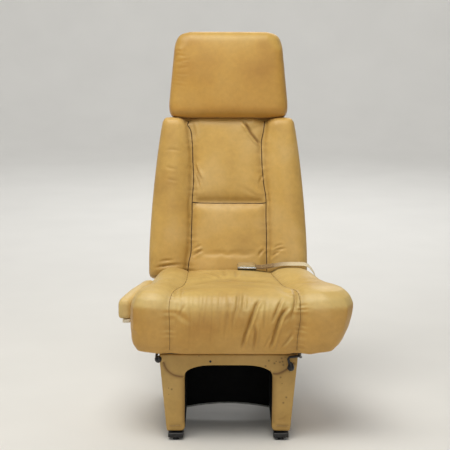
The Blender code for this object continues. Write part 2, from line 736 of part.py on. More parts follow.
def legs_and_frame():
    for side, hand in ((-1, "left"), (1, "right")):
        for leg_y, end in ((FRONT_LEG_Y, "front"), (REAR_LEG_Y, "rear")):
            track_fitting(f"track_fitting_{end}_{hand}", side, leg_y)
            leg = leaning_post(
                f"leg_{end}_{hand}",
                (side * TRACK_HALF, leg_y, FOOT_HEIGHT),
                (side * LEG_TOP_HALF, leg_y, RAIL_BOTTOM - GAP),
                LEG_SIZE,
            )
            finish(bevel(leg, LEG_ROUND), leg.name, "frame_alloy")
        rail = block(
            f"side_rail_{hand}",
            (side * LEG_TOP_HALF - 0.5 * RAIL_WIDTH, RAIL_FRONT_Y, RAIL_BOTTOM),
            (side * LEG_TOP_HALF + 0.5 * RAIL_WIDTH, RAIL_REAR_Y, RAIL_TOP),
        )
        across = 0.6 * RAIL_WIDTH
        centre = side * LEG_TOP_HALF
        bore = rod(
            f"track_bore_{hand}",
            (centre - across, TRACK_SHAFT_Y, TRACK_SHAFT_Z),
            (centre + across, TRACK_SHAFT_Y, TRACK_SHAFT_Z),
            SHAFT_RADIUS + RUNNING,
        )
        cut(rail, bore)
        if side < 0:
            bore = rod(
                "recline_bore",
                (centre - across, RECLINE_SHAFT_Y, RECLINE_SHAFT_Z),
                (centre + across, RECLINE_SHAFT_Y, RECLINE_SHAFT_Z),
                SHAFT_RADIUS + RUNNING,
            )
            cut(rail, bore)
        finish(rail, rail.name, "frame_alloy")
        sill_outer = TRACK_HALF + 0.5 * LEG_SIZE
        sill = block(
            f"lower_rail_{hand}",
            (side * sill_outer, FRONT_LEG_Y + 0.5 * LEG_SIZE + GAP, FOOT_HEIGHT),
            (side * (PLUNGER_X - SILL_EDGE), REAR_LEG_Y - 0.5 * LEG_SIZE - GAP, FOOT_HEIGHT + SILL_HEIGHT),
        )
        hole = rod(
            f"plunger_bore_{hand}",
            (side * PLUNGER_X, PLUNGER_Y, FOOT_HEIGHT - 0.002),
            (side * PLUNGER_X, PLUNGER_Y, FOOT_HEIGHT + SILL_HEIGHT + 0.002),
            PLUNGER_RADIUS + RUNNING,
            sides=16,
        )
        finish(cut(sill, hole), sill.name, "frame_alloy")
    front_z = 0.5 * (RAIL_BOTTOM + RAIL_TOP)
    span = RAIL_INNER - GAP
    front = rod(
        "cross_tube_front", (-span, FRONT_CROSS_Y, front_z), (span, FRONT_CROSS_Y, front_z), CROSS_RADIUS
    )
    finish(front, front.name, "frame_alloy")
    rise = (REAR_CROSS_Z - CROSS_RADIUS - FOOT_HEIGHT) / (RAIL_BOTTOM - GAP - FOOT_HEIGHT)
    span = mix(TRACK_HALF, LEG_TOP_HALF, rise) - 0.5 * LEG_SIZE - GAP
    rear = rod(
        "cross_tube_rear", (-span, REAR_LEG_Y, REAR_CROSS_Z), (span, REAR_LEG_Y, REAR_CROSS_Z), CROSS_RADIUS
    )
    finish(rear, rear.name, "frame_alloy")


def seat_pan():
    outline = rounded_rectangle(PAN_HALF, PAN_FRONT_Y, PAN_REAR_Y, PAN_CORNER)
    pan = flat_outline("seat_pan", [outline], PAN_BOTTOM, PAN_TOP, "XY")
    inner = rounded_rectangle(
        PAN_HALF - PAN_WALL, PAN_FRONT_Y + PAN_WALL, PAN_REAR_Y - PAN_WALL, PAN_CORNER - PAN_WALL
    )
    hollow = flat_outline("pan_hollow", [inner], PAN_BOTTOM - 0.01, PAN_TOP - PAN_WALL, "XY")
    cut(pan, hollow)
    middle = 0.5 * (PAN_FRONT_Y + PAN_REAR_Y)
    for column in (-1, 0, 1):
        for row in (-1, 0, 1):
            x, y = column * PAN_HOLE_STEP_X, middle + row * PAN_HOLE_STEP_Y
            hole = rod(f"pan_hole_{column}_{row}", (x, y, PAN_BOTTOM), (x, y, PAN_TOP + 0.01), PAN_HOLE)
            cut(pan, hole)
    return finish(pan, "seat_pan", "frame_alloy")


def front_shroud():
    """Front cover: two tapering legs under an apron with an arched lower edge."""
    hem = (ARCH_HALF + HEM_ROUND, SHROUD_BOTTOM + HEM_ROUND)
    arch = arc(hem, HEM_ROUND, 270, 180, 3) + [(ARCH_HALF, ARCH_SPRING_Z)]
    for step in range(1, 7):
        turn = math.radians(15.0 * step)
        reach = ARCH_HALF - ARCH_FLAT_HALF
        x = ARCH_HALF - reach * (1.0 - math.cos(turn))
        arch.append((x, ARCH_SPRING_Z + (ARCH_TOP_Z - ARCH_SPRING_Z) * math.sin(turn)))
    top = RAIL_TOP - GAP
    right = [(SHROUD_TOP_HALF, top), (SHROUD_FOOT_HALF, SHROUD_BOTTOM)] + arch
    outline = right + [(-x, z) for x, z in reversed(right)]
    shroud = flat_outline("front_shroud", [outline], SHROUD_BACK_Y - SHROUD_THICK, SHROUD_BACK_Y, "XZ")
    return finish(bevel(shroud, SHROUD_ROUND, 2), "front_shroud", "covered_panel")


def slope_x(z):
    """Outer face of the pedestal at height z."""
    along = (z - SHROUD_BOTTOM) / (RAIL_TOP - SHROUD_BOTTOM)
    return mix(SHROUD_FOOT_HALF, SHROUD_TOP_HALF, along)


def side_covers():
    """Leather-covered sides, dark inner liners, and the dark baffle between them with its rolled edge."""
    front_y = SHROUD_BACK_Y + GAP
    top = RAIL_TOP - GAP
    for side, hand in ((-1, "left"), (1, "right")):
        outline = [
            (side * slope_x(SIDE_BOTTOM), SIDE_BOTTOM),
            (side * slope_x(top), top),
            (side * (slope_x(top) - SIDE_THICK), top),
            (side * (slope_x(SIDE_BOTTOM) - SIDE_THICK), SIDE_BOTTOM),
        ]
        panel = flat_outline(f"side_shroud_{hand}", [outline], front_y, SIDE_REAR_Y, "XZ")
        bevel(panel, 0.0015, 1)
        for index, (low_y, high_y, low_z) in enumerate(SIDE_NOTCHES[hand]):
            notch = block(
                f"side_notch_{hand}_{index}",
                (side * RAIL_OUTER, low_y - SIDE_NOTCH, low_z - SIDE_NOTCH),
                (side * (SHROUD_TOP_HALF + 0.01), high_y + SIDE_NOTCH, RAIL_TOP + 0.01),
            )
            cut(panel, notch)
        finish(panel, panel.name, "covered_panel")
        liner = block(
            f"inner_liner_{hand}",
            (side * ARCH_HALF, front_y, SIDE_BOTTOM),
            (side * (ARCH_HALF + LINER_THICK), LINER_REAR_Y, LINER_TOP),
        )
        finish(liner, liner.name, "dark_sheet")
    half = ARCH_HALF - GAP
    lower = []
    for step in range(9):
        x = mix(-half, half, step / 8)
        lower.append((x, BAFFLE_BOTTOM + BAFFLE_RISE * (1.0 - (x / half) ** 2)))
    outline = lower + [(half, BAFFLE_TOP), (-half, BAFFLE_TOP)]
    baffle = flat_outline("inner_baffle", [outline], BAFFLE_Y, BAFFLE_Y + BAFFLE_THICK, "XZ")
    rolled = lower + [(x, z + EDGE_HEIGHT) for x, z in reversed(lower)]
    edge_y = BAFFLE_Y - EDGE_PROUD, BAFFLE_Y + 0.5 * BAFFLE_THICK
    join(baffle, flat_outline("rolled_edge", [rolled], *edge_y, "XZ"))
    finish(baffle, "inner_baffle", "dark_sheet")


def seat_cushion():
    cushion = padded_form("seat_cushion", 8, cushion_point, seam_lines(SEAT_SEAM_SPAN))
    return finish(cushion, "seat_cushion", "leather")


def hinge_brackets():
    """Plates on the rails that carry the back's pivot."""
    for side, hand in ((-1, "left"), (1, "right")):
        foot_low = HINGE_Y - 0.5 * BRACKET_FOOT
        foot_high = min(HINGE_Y + 0.5 * BRACKET_FOOT, RAIL_REAR_Y)
        head = arc((HINGE_Y, HINGE_Z), BRACKET_HEAD, 0, 180, 10)
        outline = [(foot_low, RAIL_TOP + GAP), (foot_high, RAIL_TOP + GAP)] + head
        x = side * LEG_TOP_HALF
        plate = flat_outline(
            f"hinge_bracket_{hand}", [outline], x - 0.5 * BRACKET_THICK, x + 0.5 * BRACKET_THICK, "YZ"
        )
        bore = rod(
            f"hinge_bore_{hand}",
            (x - BRACKET_THICK, HINGE_Y, HINGE_Z),
            (x + BRACKET_THICK, HINGE_Y, HINGE_Z),
            SPIGOT_RADIUS + RUNNING,
            sides=24,
        )
        finish(cut(plate, bore), plate.name, "zinc_steel")


def back_parts(recline):
    """Everything that reclines, in the back's own frame under the recline axis."""
    made = []
    bracket_inner = LEG_TOP_HALF - 0.5 * BRACKET_THICK
    tube_end = bracket_inner - GAP
    torque = rod("back_torque_tube", (-tube_end, 0, 0), (tube_end, 0, 0), TORQUE_RADIUS, sides=24)
    reach = tube_end + SPIGOT_LENGTH
    join(torque, rod("torque_spigots", (-reach, 0, 0), (reach, 0, 0), SPIGOT_RADIUS, sides=24))
    made.append(finish(torque, torque.name, "zinc_steel"))
    for side, hand in ((-1, "left"), (1, "right")):
        inner = side * (bracket_inner + BRACKET_THICK + GAP)
        outer = inner + side * NUT_LENGTH
        nut = rod(f"hinge_nut_{hand}", (inner, 0, 0), (outer, 0, 0), NUT_RADIUS, sides=6)
        end = side * (reach + GAP)
        bore_ends = (inner - side * 0.01, 0, 0), (end, 0, 0)
        cut(nut, rod(f"nut_bore_{hand}", *bore_ends, SPIGOT_RADIUS + GAP, sides=24))
        made.append(finish(nut, nut.name, "zinc_steel"))
        path = [
            (side * TUBE_LOW_HALF, 0.0, TORQUE_RADIUS + GAP),
            (side * TUBE_LOW_HALF, 0.0, TUBE_BEND_LOW - 0.012),
            (side * mix(TUBE_LOW_HALF, TUBE_HIGH_HALF, 0.10), 0.1 * TUBE_Y, TUBE_BEND_LOW),
            (side * mix(TUBE_LOW_HALF, TUBE_HIGH_HALF, 0.90), 0.9 * TUBE_Y, TUBE_BEND_HIGH),
            (side * TUBE_HIGH_HALF, TUBE_Y, TUBE_BEND_HIGH + 0.012),
            (side * TUBE_HIGH_HALF, TUBE_Y, TUBE_TOP),
        ]
        tube = bent_tube(f"back_tube_{hand}", path, TUBE_RADIUS, 3)
        made.append(finish(tube, tube.name, "frame_alloy"))
    span = TUBE_HIGH_HALF - TUBE_RADIUS - GAP
    bar_ends = (-span, TUBE_Y, LOW_BAR_Z), (span, TUBE_Y, LOW_BAR_Z)
    low_bar = rod("back_crossbar_lower", *bar_ends, LOW_BAR_RADIUS)
    made.append(finish(low_bar, low_bar.name, "frame_alloy"))
    high_bar = block(
        "back_crossbar_upper",
        (-span, TUBE_Y - 0.5 * HIGH_BAR_DEPTH, HIGH_BAR_Z - 0.5 * HIGH_BAR_HEIGHT),
        (span, TUBE_Y + 0.5 * HIGH_BAR_DEPTH, HIGH_BAR_Z + 0.5 * HIGH_BAR_HEIGHT),
    )
    shell = padded_form("back_shell", 6, shell_point)
    open_faces(shell)
    solid = shell.modifiers.new("wall", "SOLIDIFY")
    solid.thickness = SHELL_WALL
    solid.offset = -1.0
    flange_low = BACK_TOP + GAP
    for side, hand in ((-1, "left"), (1, "right")):
        x = side * POST_HALF
        low, high = flange_low + GUIDE_FLANGE - GUIDE_LENGTH, flange_low + GUIDE_FLANGE
        guide = rod(f"headrest_guide_{hand}", (x, TUBE_Y, low), (x, TUBE_Y, high), GUIDE_OUTER)
        flange_ends = (x, TUBE_Y, flange_low), (x, TUBE_Y, high)
        join(guide, rod(f"guide_flange_{hand}", *flange_ends, GUIDE_OUTER + GUIDE_FLANGE_WIDTH))
        bore_ends = (x, TUBE_Y, low - 0.01), (x, TUBE_Y, high + 0.01)
        cut(guide, rod(f"guide_bore_{hand}", *bore_ends, POST_RADIUS + RUNNING))
        made.append(finish(guide, guide.name, "black_plastic"))
        cut(high_bar, rod(f"bar_bore_{hand}", *bore_ends, GUIDE_OUTER + GAP))
        cut(shell, rod(f"shell_bore_{hand}", *bore_ends, GUIDE_OUTER + GAP))
    made.append(finish(high_bar, "back_crossbar_upper", "frame_alloy"))
    made.append(finish(shell, "back_shell", "leather"))
    lines = seam_lines(BACK_SEAM_SPAN) + [(2, BACK_CROSS_W + turn * BACK_CROSS_SPAN) for turn in (-1, 0, 1)]
    made.append(finish(padded_form("back_cushion", 8, back_point, lines), "back_cushion", "leather"))
    made.append(recline_arm())
    for obj in made:
        obj.parent = recline
    follow_cutters(made, recline)
    return made


def open_faces(obj):
    """Leaves a padded form open at its front and underneath."""
    bm = bmesh.new()
    bm.from_mesh(obj.data)
    bm.normal_update()
    low = min(v.co.z for v in bm.verts) + SHELL_LIP
    front = min(v.co.y for v in bm.verts) + 1e-4
    gone = [
        f for f in bm.faces
        if all(v.co.z < low for v in f.verts) or all(v.co.y < front for v in f.verts)
    ]
    bmesh.ops.delete(bm, geom=gone, context="FACES")
    bm.to_mesh(obj.data)
    bm.free()


def follow_cutters(objects, empty):
    """Hangs the cutters of objects made in an empty's own frame under the same empty."""
    for obj in objects:
        for mod in obj.modifiers:
            if mod.type == "BOOLEAN" and mod.object.parent is None:
                mod.object.parent = empty


def recline_arm():
    """Arm on the torque tube that pushes the strut, with the strut's pin."""
    tilt = ARM_LEAN + LEAN
    tip = (ARM_LENGTH * math.sin(tilt), -ARM_LENGTH * math.cos(tilt))
    along = math.degrees(math.atan2(tip[1], tip[0]))
    outline = arc((0, 0), ARM_HEAD, along + 75, along + 285, 12)
    outline += arc(tip, ARM_TIP, along - 75, along + 75, 8)
    low, high = STRUT_X - 0.5 * ARM_THICK, STRUT_X + 0.5 * ARM_THICK
    arm = flat_outline("recline_arm", [outline], low, high, "YZ")
    cut(arm, rod("arm_bore", (low - 0.01, 0, 0), (high + 0.01, 0, 0), TORQUE_RADIUS + GAP, sides=24))
    pin_half = 0.5 * ARM_THICK + FORK_CHEEK_GAP + FORK_THICK + 0.001
    pin = rod("arm_pin", (STRUT_X - pin_half, *tip), (STRUT_X + pin_half, *tip), PIVOT_RADIUS, sides=16)
    return finish(join(arm, pin), "recline_arm", "zinc_steel")


def headrest_parts(slide):
    """Headrest, in the back's own frame."""
    made = []
    pad = padded_form("headrest_pad", 7, head_point)
    core_low = HEAD_BOTTOM - 0.02
    pocket = block(
        "core_pocket",
        (-CORE_HALF - SOFT_GAP, CORE_FRONT_Y - SOFT_GAP, core_low),
        (CORE_HALF + SOFT_GAP, CORE_REAR_Y + SOFT_GAP, CORE_TOP + SOFT_GAP),
    )
    made.append(finish(cut(pad, pocket), "headrest_pad", "leather"))
    core = block(
        "headrest_core", (-CORE_HALF, CORE_FRONT_Y, HEAD_BOTTOM + 0.004), (CORE_HALF, CORE_REAR_Y, CORE_TOP)
    )
    for side, hand in ((-1, "left"), (1, "right")):
        x = side * POST_HALF
        post = rod(f"headrest_post_{hand}", (x, TUBE_Y, POST_LOW), (x, TUBE_Y, POST_HIGH), POST_RADIUS)
        made.append(finish(bevel(post, 0.001, 1), post.name, "chrome"))
        socket_ends = (x, TUBE_Y, core_low), (x, TUBE_Y, POST_HIGH + GAP)
        socket = rod(f"post_socket_{hand}", *socket_ends, POST_RADIUS + GAP)
        cut(core, socket)
    made.append(finish(core, "headrest_core", "black_plastic"))
    for obj in made:
        obj.parent = slide
    follow_cutters(made, slide)


def armrest_line(y):
    """Middle of the armrest's width at y, which follows the slant of the cushion's side."""
    return -cushion_half(y, -1) - ARMREST_GAP - 0.5 * ARMREST_WIDTH


def armrest_parts():
    """Armrest along the cushion's slanted side, its stem in a sleeve, and the stem's release."""
    half_y = 0.5 * (ARMREST_REAR_Y - ARMREST_FRONT_Y)
    half_z = 0.5 * (ARMREST_TOP - ARMREST_BOTTOM)
    half_x = 0.5 * ARMREST_WIDTH

    def arm_point(u, v, w):
        x, z, y = pillow(u, v, w, half_x, half_y, half_z, ARMREST_ROUND, ARMREST_ROUND, 0.004)
        height = 0.5 * (z / half_z + 1.0)
        drop = ARMREST_DROP * smooth(-0.4, 1.0, y / half_y) * height
        y += ARMREST_FRONT_Y + half_y
        return armrest_line(y) + x, y, ARMREST_BOTTOM + half_z + z - drop

    pad = finish(padded_form("armrest_pad", 5, arm_point), "armrest_pad", "leather")
    plate_top = ARMREST_BOTTOM - GAP
    plate_low = plate_top - ARM_PLATE_HEIGHT
    plate = block(
        "armrest_plate",
        (-0.5 * ARM_PLATE_WIDTH, ARMREST_FRONT_Y + 0.004, plate_low),
        (0.5 * ARM_PLATE_WIDTH, ARMREST_REAR_Y - 0.006, plate_top),
    )
    for vert in plate.data.vertices:
        vert.co.x += armrest_line(vert.co.y)
    finish(bevel(plate, 0.002, 2), "armrest_plate", "cream_plastic")
    stem_x = armrest_line(STEM_Y)
    stem = block(
        "armrest_stem",
        (stem_x - 0.5 * STEM_X_SIZE, STEM_Y - 0.5 * STEM_Y_SIZE, STEM_BOTTOM),
        (stem_x + 0.5 * STEM_X_SIZE, STEM_Y + 0.5 * STEM_Y_SIZE, plate_low - GAP),
    )
    finish(bevel(stem, 0.001, 1), "armrest_stem", "chrome")
    wall_x = 0.5 * STEM_X_SIZE + RUNNING + SLEEVE_WALL
    wall_y = 0.5 * STEM_Y_SIZE + RUNNING + SLEEVE_WALL
    sleeve = block(
        "armrest_sleeve",
        (stem_x - wall_x, STEM_Y - wall_y, SLEEVE_BOTTOM),
        (stem_x + wall_x, STEM_Y + wall_y, SLEEVE_TOP),
    )
    foot = block(
        "sleeve_bracket",
        (stem_x, STEM_Y - SLEEVE_ARM_HALF, RAIL_TOP - GAP - ARM_BRACKET_HEIGHT),
        (-RAIL_OUTER - GAP, STEM_Y + SLEEVE_ARM_HALF, RAIL_TOP - GAP),
    )
    join(sleeve, foot)
    channel = block(
        "stem_channel",
        (stem_x - wall_x + SLEEVE_WALL, STEM_Y - wall_y + SLEEVE_WALL, SLEEVE_BOTTOM - 0.01),
        (stem_x + wall_x - SLEEVE_WALL, STEM_Y + wall_y - SLEEVE_WALL, SLEEVE_TOP + 0.01),
    )
    cut(sleeve, channel)
    sleeve_front = STEM_Y - wall_y
    bore = rod(
        "release_bore",
        (stem_x, sleeve_front - 0.005, RELEASE_Z),
        (stem_x, sleeve_front + SLEEVE_WALL + 0.001, RELEASE_Z),
        RELEASE_RADIUS + RUNNING,
        sides=16,
    )
    finish(cut(sleeve, bore), "armrest_sleeve", "black_steel")
    tip_y = sleeve_front + SLEEVE_WALL
    knob_y = tip_y - RELEASE_REACH
    release_ends = (stem_x, knob_y, RELEASE_Z), (stem_x, tip_y, RELEASE_Z)
    release = rod("armrest_release", *release_ends, RELEASE_RADIUS, sides=16)
    knob_ends = (stem_x, knob_y - 0.004, RELEASE_Z), (stem_x, knob_y + 0.004, RELEASE_Z)
    knob = rod("release_knob", *knob_ends, RELEASE_KNOB, sides=16)
    finish(join(release, knob), "armrest_release", "black_plastic")
    hang(joint_axis("armrest_lift_axis", (stem_x, STEM_Y, ARMREST_BOTTOM)), pad, plate, stem)
    hang(joint_axis("armrest_release_axis", (stem_x, tip_y, RELEASE_Z)), release)


def strut_parts():
    """Lockable recline strut: body clamped to the pan frame, sliding rod with a slotted fork, valve pin."""
    body_ends = (STRUT_X, CYLINDER_FRONT_Y, STRUT_Z), (STRUT_X, CYLINDER_REAR_Y, STRUT_Z)
    body = rod("strut_body", *body_ends, CYLINDER_RADIUS, sides=24)
    bore_start = CYLINDER_FRONT_Y + CYLINDER_CAP
    bore_ends = (STRUT_X, bore_start, STRUT_Z), (STRUT_X, CYLINDER_REAR_Y + 0.01, STRUT_Z)
    cut(body, rod("strut_bore", *bore_ends, ROD_RADIUS + RUNNING))
    cut(
        body,
        rod(
            "valve_bore",
            (STRUT_X, CYLINDER_FRONT_Y - 0.01, STRUT_Z),
            (STRUT_X, bore_start + 0.001, STRUT_Z),
            VALVE_RADIUS + RUNNING,
            sides=12,
        ),
    )
    finish(body, "strut_body", "black_steel")
    clamp_x = -RAIL_INNER + GAP
    clamp_low = CYLINDER_FRONT_Y + 0.030
    clamp = block(
        "strut_clamp",
        (clamp_x, clamp_low, STRUT_Z - 0.003),
        (STRUT_X, clamp_low + 0.040, STRUT_Z + 0.003 + CLAMP_THICK),
    )
    collar_ends = (STRUT_X, clamp_low, STRUT_Z), (STRUT_X, clamp_low + 0.040, STRUT_Z)
    join(clamp, rod("clamp_collar", *collar_ends, CYLINDER_RADIUS + 0.003, sides=24))
    seat_ends = (STRUT_X, clamp_low - 0.01, STRUT_Z), (STRUT_X, clamp_low + 0.05, STRUT_Z)
    cut(clamp, rod("clamp_bore", *seat_ends, CYLINDER_RADIUS + GAP, sides=24))
    finish(clamp, "strut_clamp", "zinc_steel")

    fork_y = STRUT_PIN_Y - FORK_BASE
    bar = rod("strut_rod", (STRUT_X, ROD_TAIL, STRUT_Z), (STRUT_X, fork_y + 0.002, STRUT_Z), ROD_RADIUS)
    slot_rise = 0.5 * STRUT_DROP
    half = 0.5 * ARM_THICK + FORK_CHEEK_GAP + FORK_THICK
    fork = block(
        "fork_block",
        (STRUT_X - half, fork_y, STRUT_Z - FORK_RADIUS),
        (STRUT_X + half, STRUT_PIN_Y + FORK_RADIUS, STRUT_Z + FORK_RADIUS),
    )
    join(bar, fork)
    gap = 0.5 * ARM_THICK + FORK_CHEEK_GAP
    throat = block(
        "fork_throat",
        (STRUT_X - gap, fork_y + 0.004, STRUT_Z - FORK_RADIUS - 0.01),
        (STRUT_X + gap, STRUT_PIN_Y + FORK_RADIUS + 0.01, STRUT_Z + FORK_RADIUS + 0.01),
    )
    cut(bar, throat)
    slot = [(STRUT_PIN_Y + y, STRUT_Z - slot_rise + z) for y, z in slot_outline(PIVOT_SLOT, slot_rise)]
    cut(bar, flat_outline("fork_slot", [slot], STRUT_X - half - 0.005, STRUT_X + half + 0.005, "YZ"))
    finish(bar, "strut_rod", "chrome")
    hang(joint_axis("strut_rod_axis", (STRUT_X, STRUT_PIN_Y, STRUT_Z)), bar)

    tip_y = CYLINDER_FRONT_Y - VALVE_REACH
    valve_end = bore_start - 0.001
    valve_ends = (STRUT_X, tip_y, STRUT_Z), (STRUT_X, valve_end, STRUT_Z)
    valve = rod("strut_valve_pin", *valve_ends, VALVE_RADIUS, sides=12)
    finish(valve, "strut_valve_pin", "zinc_steel")
    hang(joint_axis("valve_pin_axis", (STRUT_X, tip_y, STRUT_Z)), valve)


def slot_outline(radius, half_length):
    upper = [(y, z + half_length) for y, z in arc((0, 0), radius, 0, 180, 8)]
    lower = [(y, z - half_length) for y, z in arc((0, 0), radius, 180, 360, 8)]
    return upper + lower


def lever(name, side, shaft_y, shaft_z, inner_x):
    """Cross shaft with a boss and a bent rod that ends at the knob."""
    x = side * LEVER_X
    outer = x + side * 0.5 * LEVER_BOSS_LENGTH
    obj = rod(name, (inner_x, shaft_y, shaft_z), (outer, shaft_y, shaft_z), SHAFT_RADIUS, sides=16)
    boss_ends = (x - side * 0.5 * LEVER_BOSS_LENGTH, shaft_y, shaft_z), (outer, shaft_y, shaft_z)
    join(obj, rod(name + "_boss", *boss_ends, LEVER_BOSS, sides=20))
    return obj


def recline_lever():
    """Left lever: pushed down, its finger presses the strut's valve pin."""
    finger_end = STRUT_X + 0.5 * FINGER_WIDTH
    obj = lever("recline_lever", -1, RECLINE_SHAFT_Y, RECLINE_SHAFT_Z, finger_end)
    knob_x = -LEVER_X + RECLINE_KNOB_INSET
    path = [
        (-LEVER_X, RECLINE_SHAFT_Y, RECLINE_SHAFT_Z),
        (-LEVER_X, mix(RECLINE_SHAFT_Y, KNOB_Y, 0.45), mix(RECLINE_SHAFT_Z, RECLINE_KNOB_Z, 0.40)),
        (-LEVER_X, KNOB_Y + 0.019, RECLINE_KNOB_Z),
        (knob_x, KNOB_Y + 0.4 * KNOB_RADIUS, RECLINE_KNOB_Z),
    ]
    join(obj, bent_tube("recline_lever_rod", path, LEVER_RADIUS, 2))
    finger = block(
        "recline_finger",
        (STRUT_X - 0.5 * FINGER_WIDTH, RECLINE_SHAFT_Y - 0.5 * FINGER_THICK, STRUT_Z - 0.006),
        (STRUT_X + 0.5 * FINGER_WIDTH, RECLINE_SHAFT_Y + 0.5 * FINGER_THICK, RECLINE_SHAFT_Z),
    )
    finish(join(obj, finger), "recline_lever", "black_steel")
    knob = ball_knob("recline_knob", (knob_x, KNOB_Y, RECLINE_KNOB_Z), 1.0)
    cut(knob, bent_tube("recline_knob_bore", path, LEVER_RADIUS + GAP, 2))
    finish(knob, "recline_knob", "black_plastic")
    hang(joint_axis("recline_lever_axis", (-LEVER_X, RECLINE_SHAFT_Y, RECLINE_SHAFT_Z)), obj, knob)


def ball_knob(name, place, stretch):
    bm = bmesh.new()
    bmesh.ops.create_uvsphere(bm, u_segments=16, v_segments=10, radius=KNOB_RADIUS)
    for vert in bm.verts:
        above = max(0.0, vert.co.z) / KNOB_RADIUS
        narrow = mix(1.0, 0.55, above * above) if stretch > 1.0 else 1.0
        vert.co.x *= narrow
        vert.co.y *= narrow
        vert.co.z *= stretch if vert.co.z > 0.0 else 1.0
    bm.transform(Matrix.Translation(place))
    obj = mesh_object(name, bm)
    obj.data.shade_smooth()
    return obj


def track_lever():
    """Right lever: its long shaft carries the two arms that lift the track-lock plungers."""
    far_end = -LEG_TOP_HALF - 0.4 * RAIL_WIDTH
    knob_z = TRACK_SHAFT_Z - 0.35 * TRACK_KNOB_DROP
    knob_x = LEVER_X - TRACK_KNOB_INSET
    obj = lever("track_lever", 1, TRACK_SHAFT_Y, TRACK_SHAFT_Z, far_end)
    crook_z = TRACK_SHAFT_Z + 0.008
    path = [
        (LEVER_X, TRACK_SHAFT_Y, TRACK_SHAFT_Z),
        (LEVER_X, mix(TRACK_SHAFT_Y, KNOB_Y, 0.5), crook_z),
        (LEVER_X, KNOB_Y + 0.023, mix(crook_z, TRACK_CROOK_Z, 0.4)),
        (LEVER_X - 0.006, KNOB_Y + 0.007, TRACK_CROOK_Z),
        (knob_x + 0.006, KNOB_Y, TRACK_CROOK_Z),
        (knob_x - 0.003, KNOB_Y, TRACK_CROOK_Z - 0.001),
        (knob_x - 0.007, KNOB_Y, TRACK_CROOK_Z - 0.006),
        (knob_x - 0.005, KNOB_Y, TRACK_CROOK_Z - 0.014),
        (knob_x, KNOB_Y, knob_z - 0.3 * KNOB_RADIUS),
    ]
    join(obj, bent_tube("track_lever_rod", path, LEVER_RADIUS, 2))
    for side in (-1, 1):
        near = PLUNGER_X + PLUNGER_RADIUS + 0.0005
        far = near + LIFT_ARM_THICK
        arm = block(
            f"lift_arm_{side}",
            (side * near, TRACK_SHAFT_Y, TRACK_SHAFT_Z - 0.5 * LIFT_ARM_HEIGHT),
            (side * far, PLUNGER_Y + LIFT_ARM_TAIL, TRACK_SHAFT_Z + 0.5 * LIFT_ARM_HEIGHT),
        )
        join(obj, arm)
    finish(obj, "track_lever", "black_steel")
    knob = ball_knob("track_knob", (knob_x, KNOB_Y, knob_z), 1.7)
    cut(knob, bent_tube("track_knob_bore", path, LEVER_RADIUS + GAP, 2))
    finish(knob, "track_knob", "black_plastic")
    hang(joint_axis("track_lever_axis", (LEVER_X, TRACK_SHAFT_Y, TRACK_SHAFT_Z)), obj, knob)


def lock_plungers():
    head_low = TRACK_SHAFT_Z + 0.5 * LIFT_ARM_HEIGHT + 0.0005
    for side, hand in ((-1, "left"), (1, "right")):
        x = side * PLUNGER_X
        pin_ends = (x, PLUNGER_Y, PLUNGER_TIP_Z), (x, PLUNGER_Y, head_low + 0.001)
        pin = rod(f"lock_plunger_{hand}", *pin_ends, PLUNGER_RADIUS, sides=16)
        head_ends = (x, PLUNGER_Y, head_low), (x, PLUNGER_Y, head_low + PLUNGER_HEAD_HEIGHT)
        join(pin, rod(f"plunger_head_{hand}", *head_ends, PLUNGER_HEAD, sides=16))
        finish(pin, pin.name, "zinc_steel")
        hang(joint_axis(f"lock_plunger_axis_{hand}", (x, PLUNGER_Y, PLUNGER_TIP_Z)), pin)


def belt_surface(x):
    """Height of the cushion under the belt, with its rounded side."""
    half = cushion_half(BELT_Y, 1)
    radius = BELT_SHOULDER * CUSHION_TOP_ROUND
    beyond = min(radius, max(0.0, x - (half - radius)))
    return cushion_top(x, BELT_Y) - radius + math.sqrt(radius * radius - beyond * beyond)


def belt_path():
    """Line of the webbing across the cushion's top, over its side and down to the anchor."""
    half = cushion_half(BELT_Y, 1)
    side_x = half + BELT_LIFT + 0.5 * BELT_THICK
    path = []
    for step in range(BELT_STEPS):
        x = mix(BELT_INNER_X, half - BELT_LIFT, step / (BELT_STEPS - 1))
        path.append((x, belt_surface(x) + BELT_LIFT + 0.5 * BELT_THICK))
    path.append((side_x, mix(path[-1][1], BELT_LOW_Z, 0.25)))
    path.append((side_x, BELT_LOW_Z))
    return path


def ribbon(path, thickness):
    """Closed outline on both sides of a line."""
    upper, lower = [], []
    for index, (x, z) in enumerate(path):
        before = path[max(0, index - 1)]
        after = path[min(len(path) - 1, index + 1)]
        along = Vector((after[0] - before[0], after[1] - before[1])).normalized()
        upper.append((x - 0.5 * thickness * along.y, z + 0.5 * thickness * along.x))
        lower.append((x + 0.5 * thickness * along.y, z - 0.5 * thickness * along.x))
    return upper + lower[::-1]


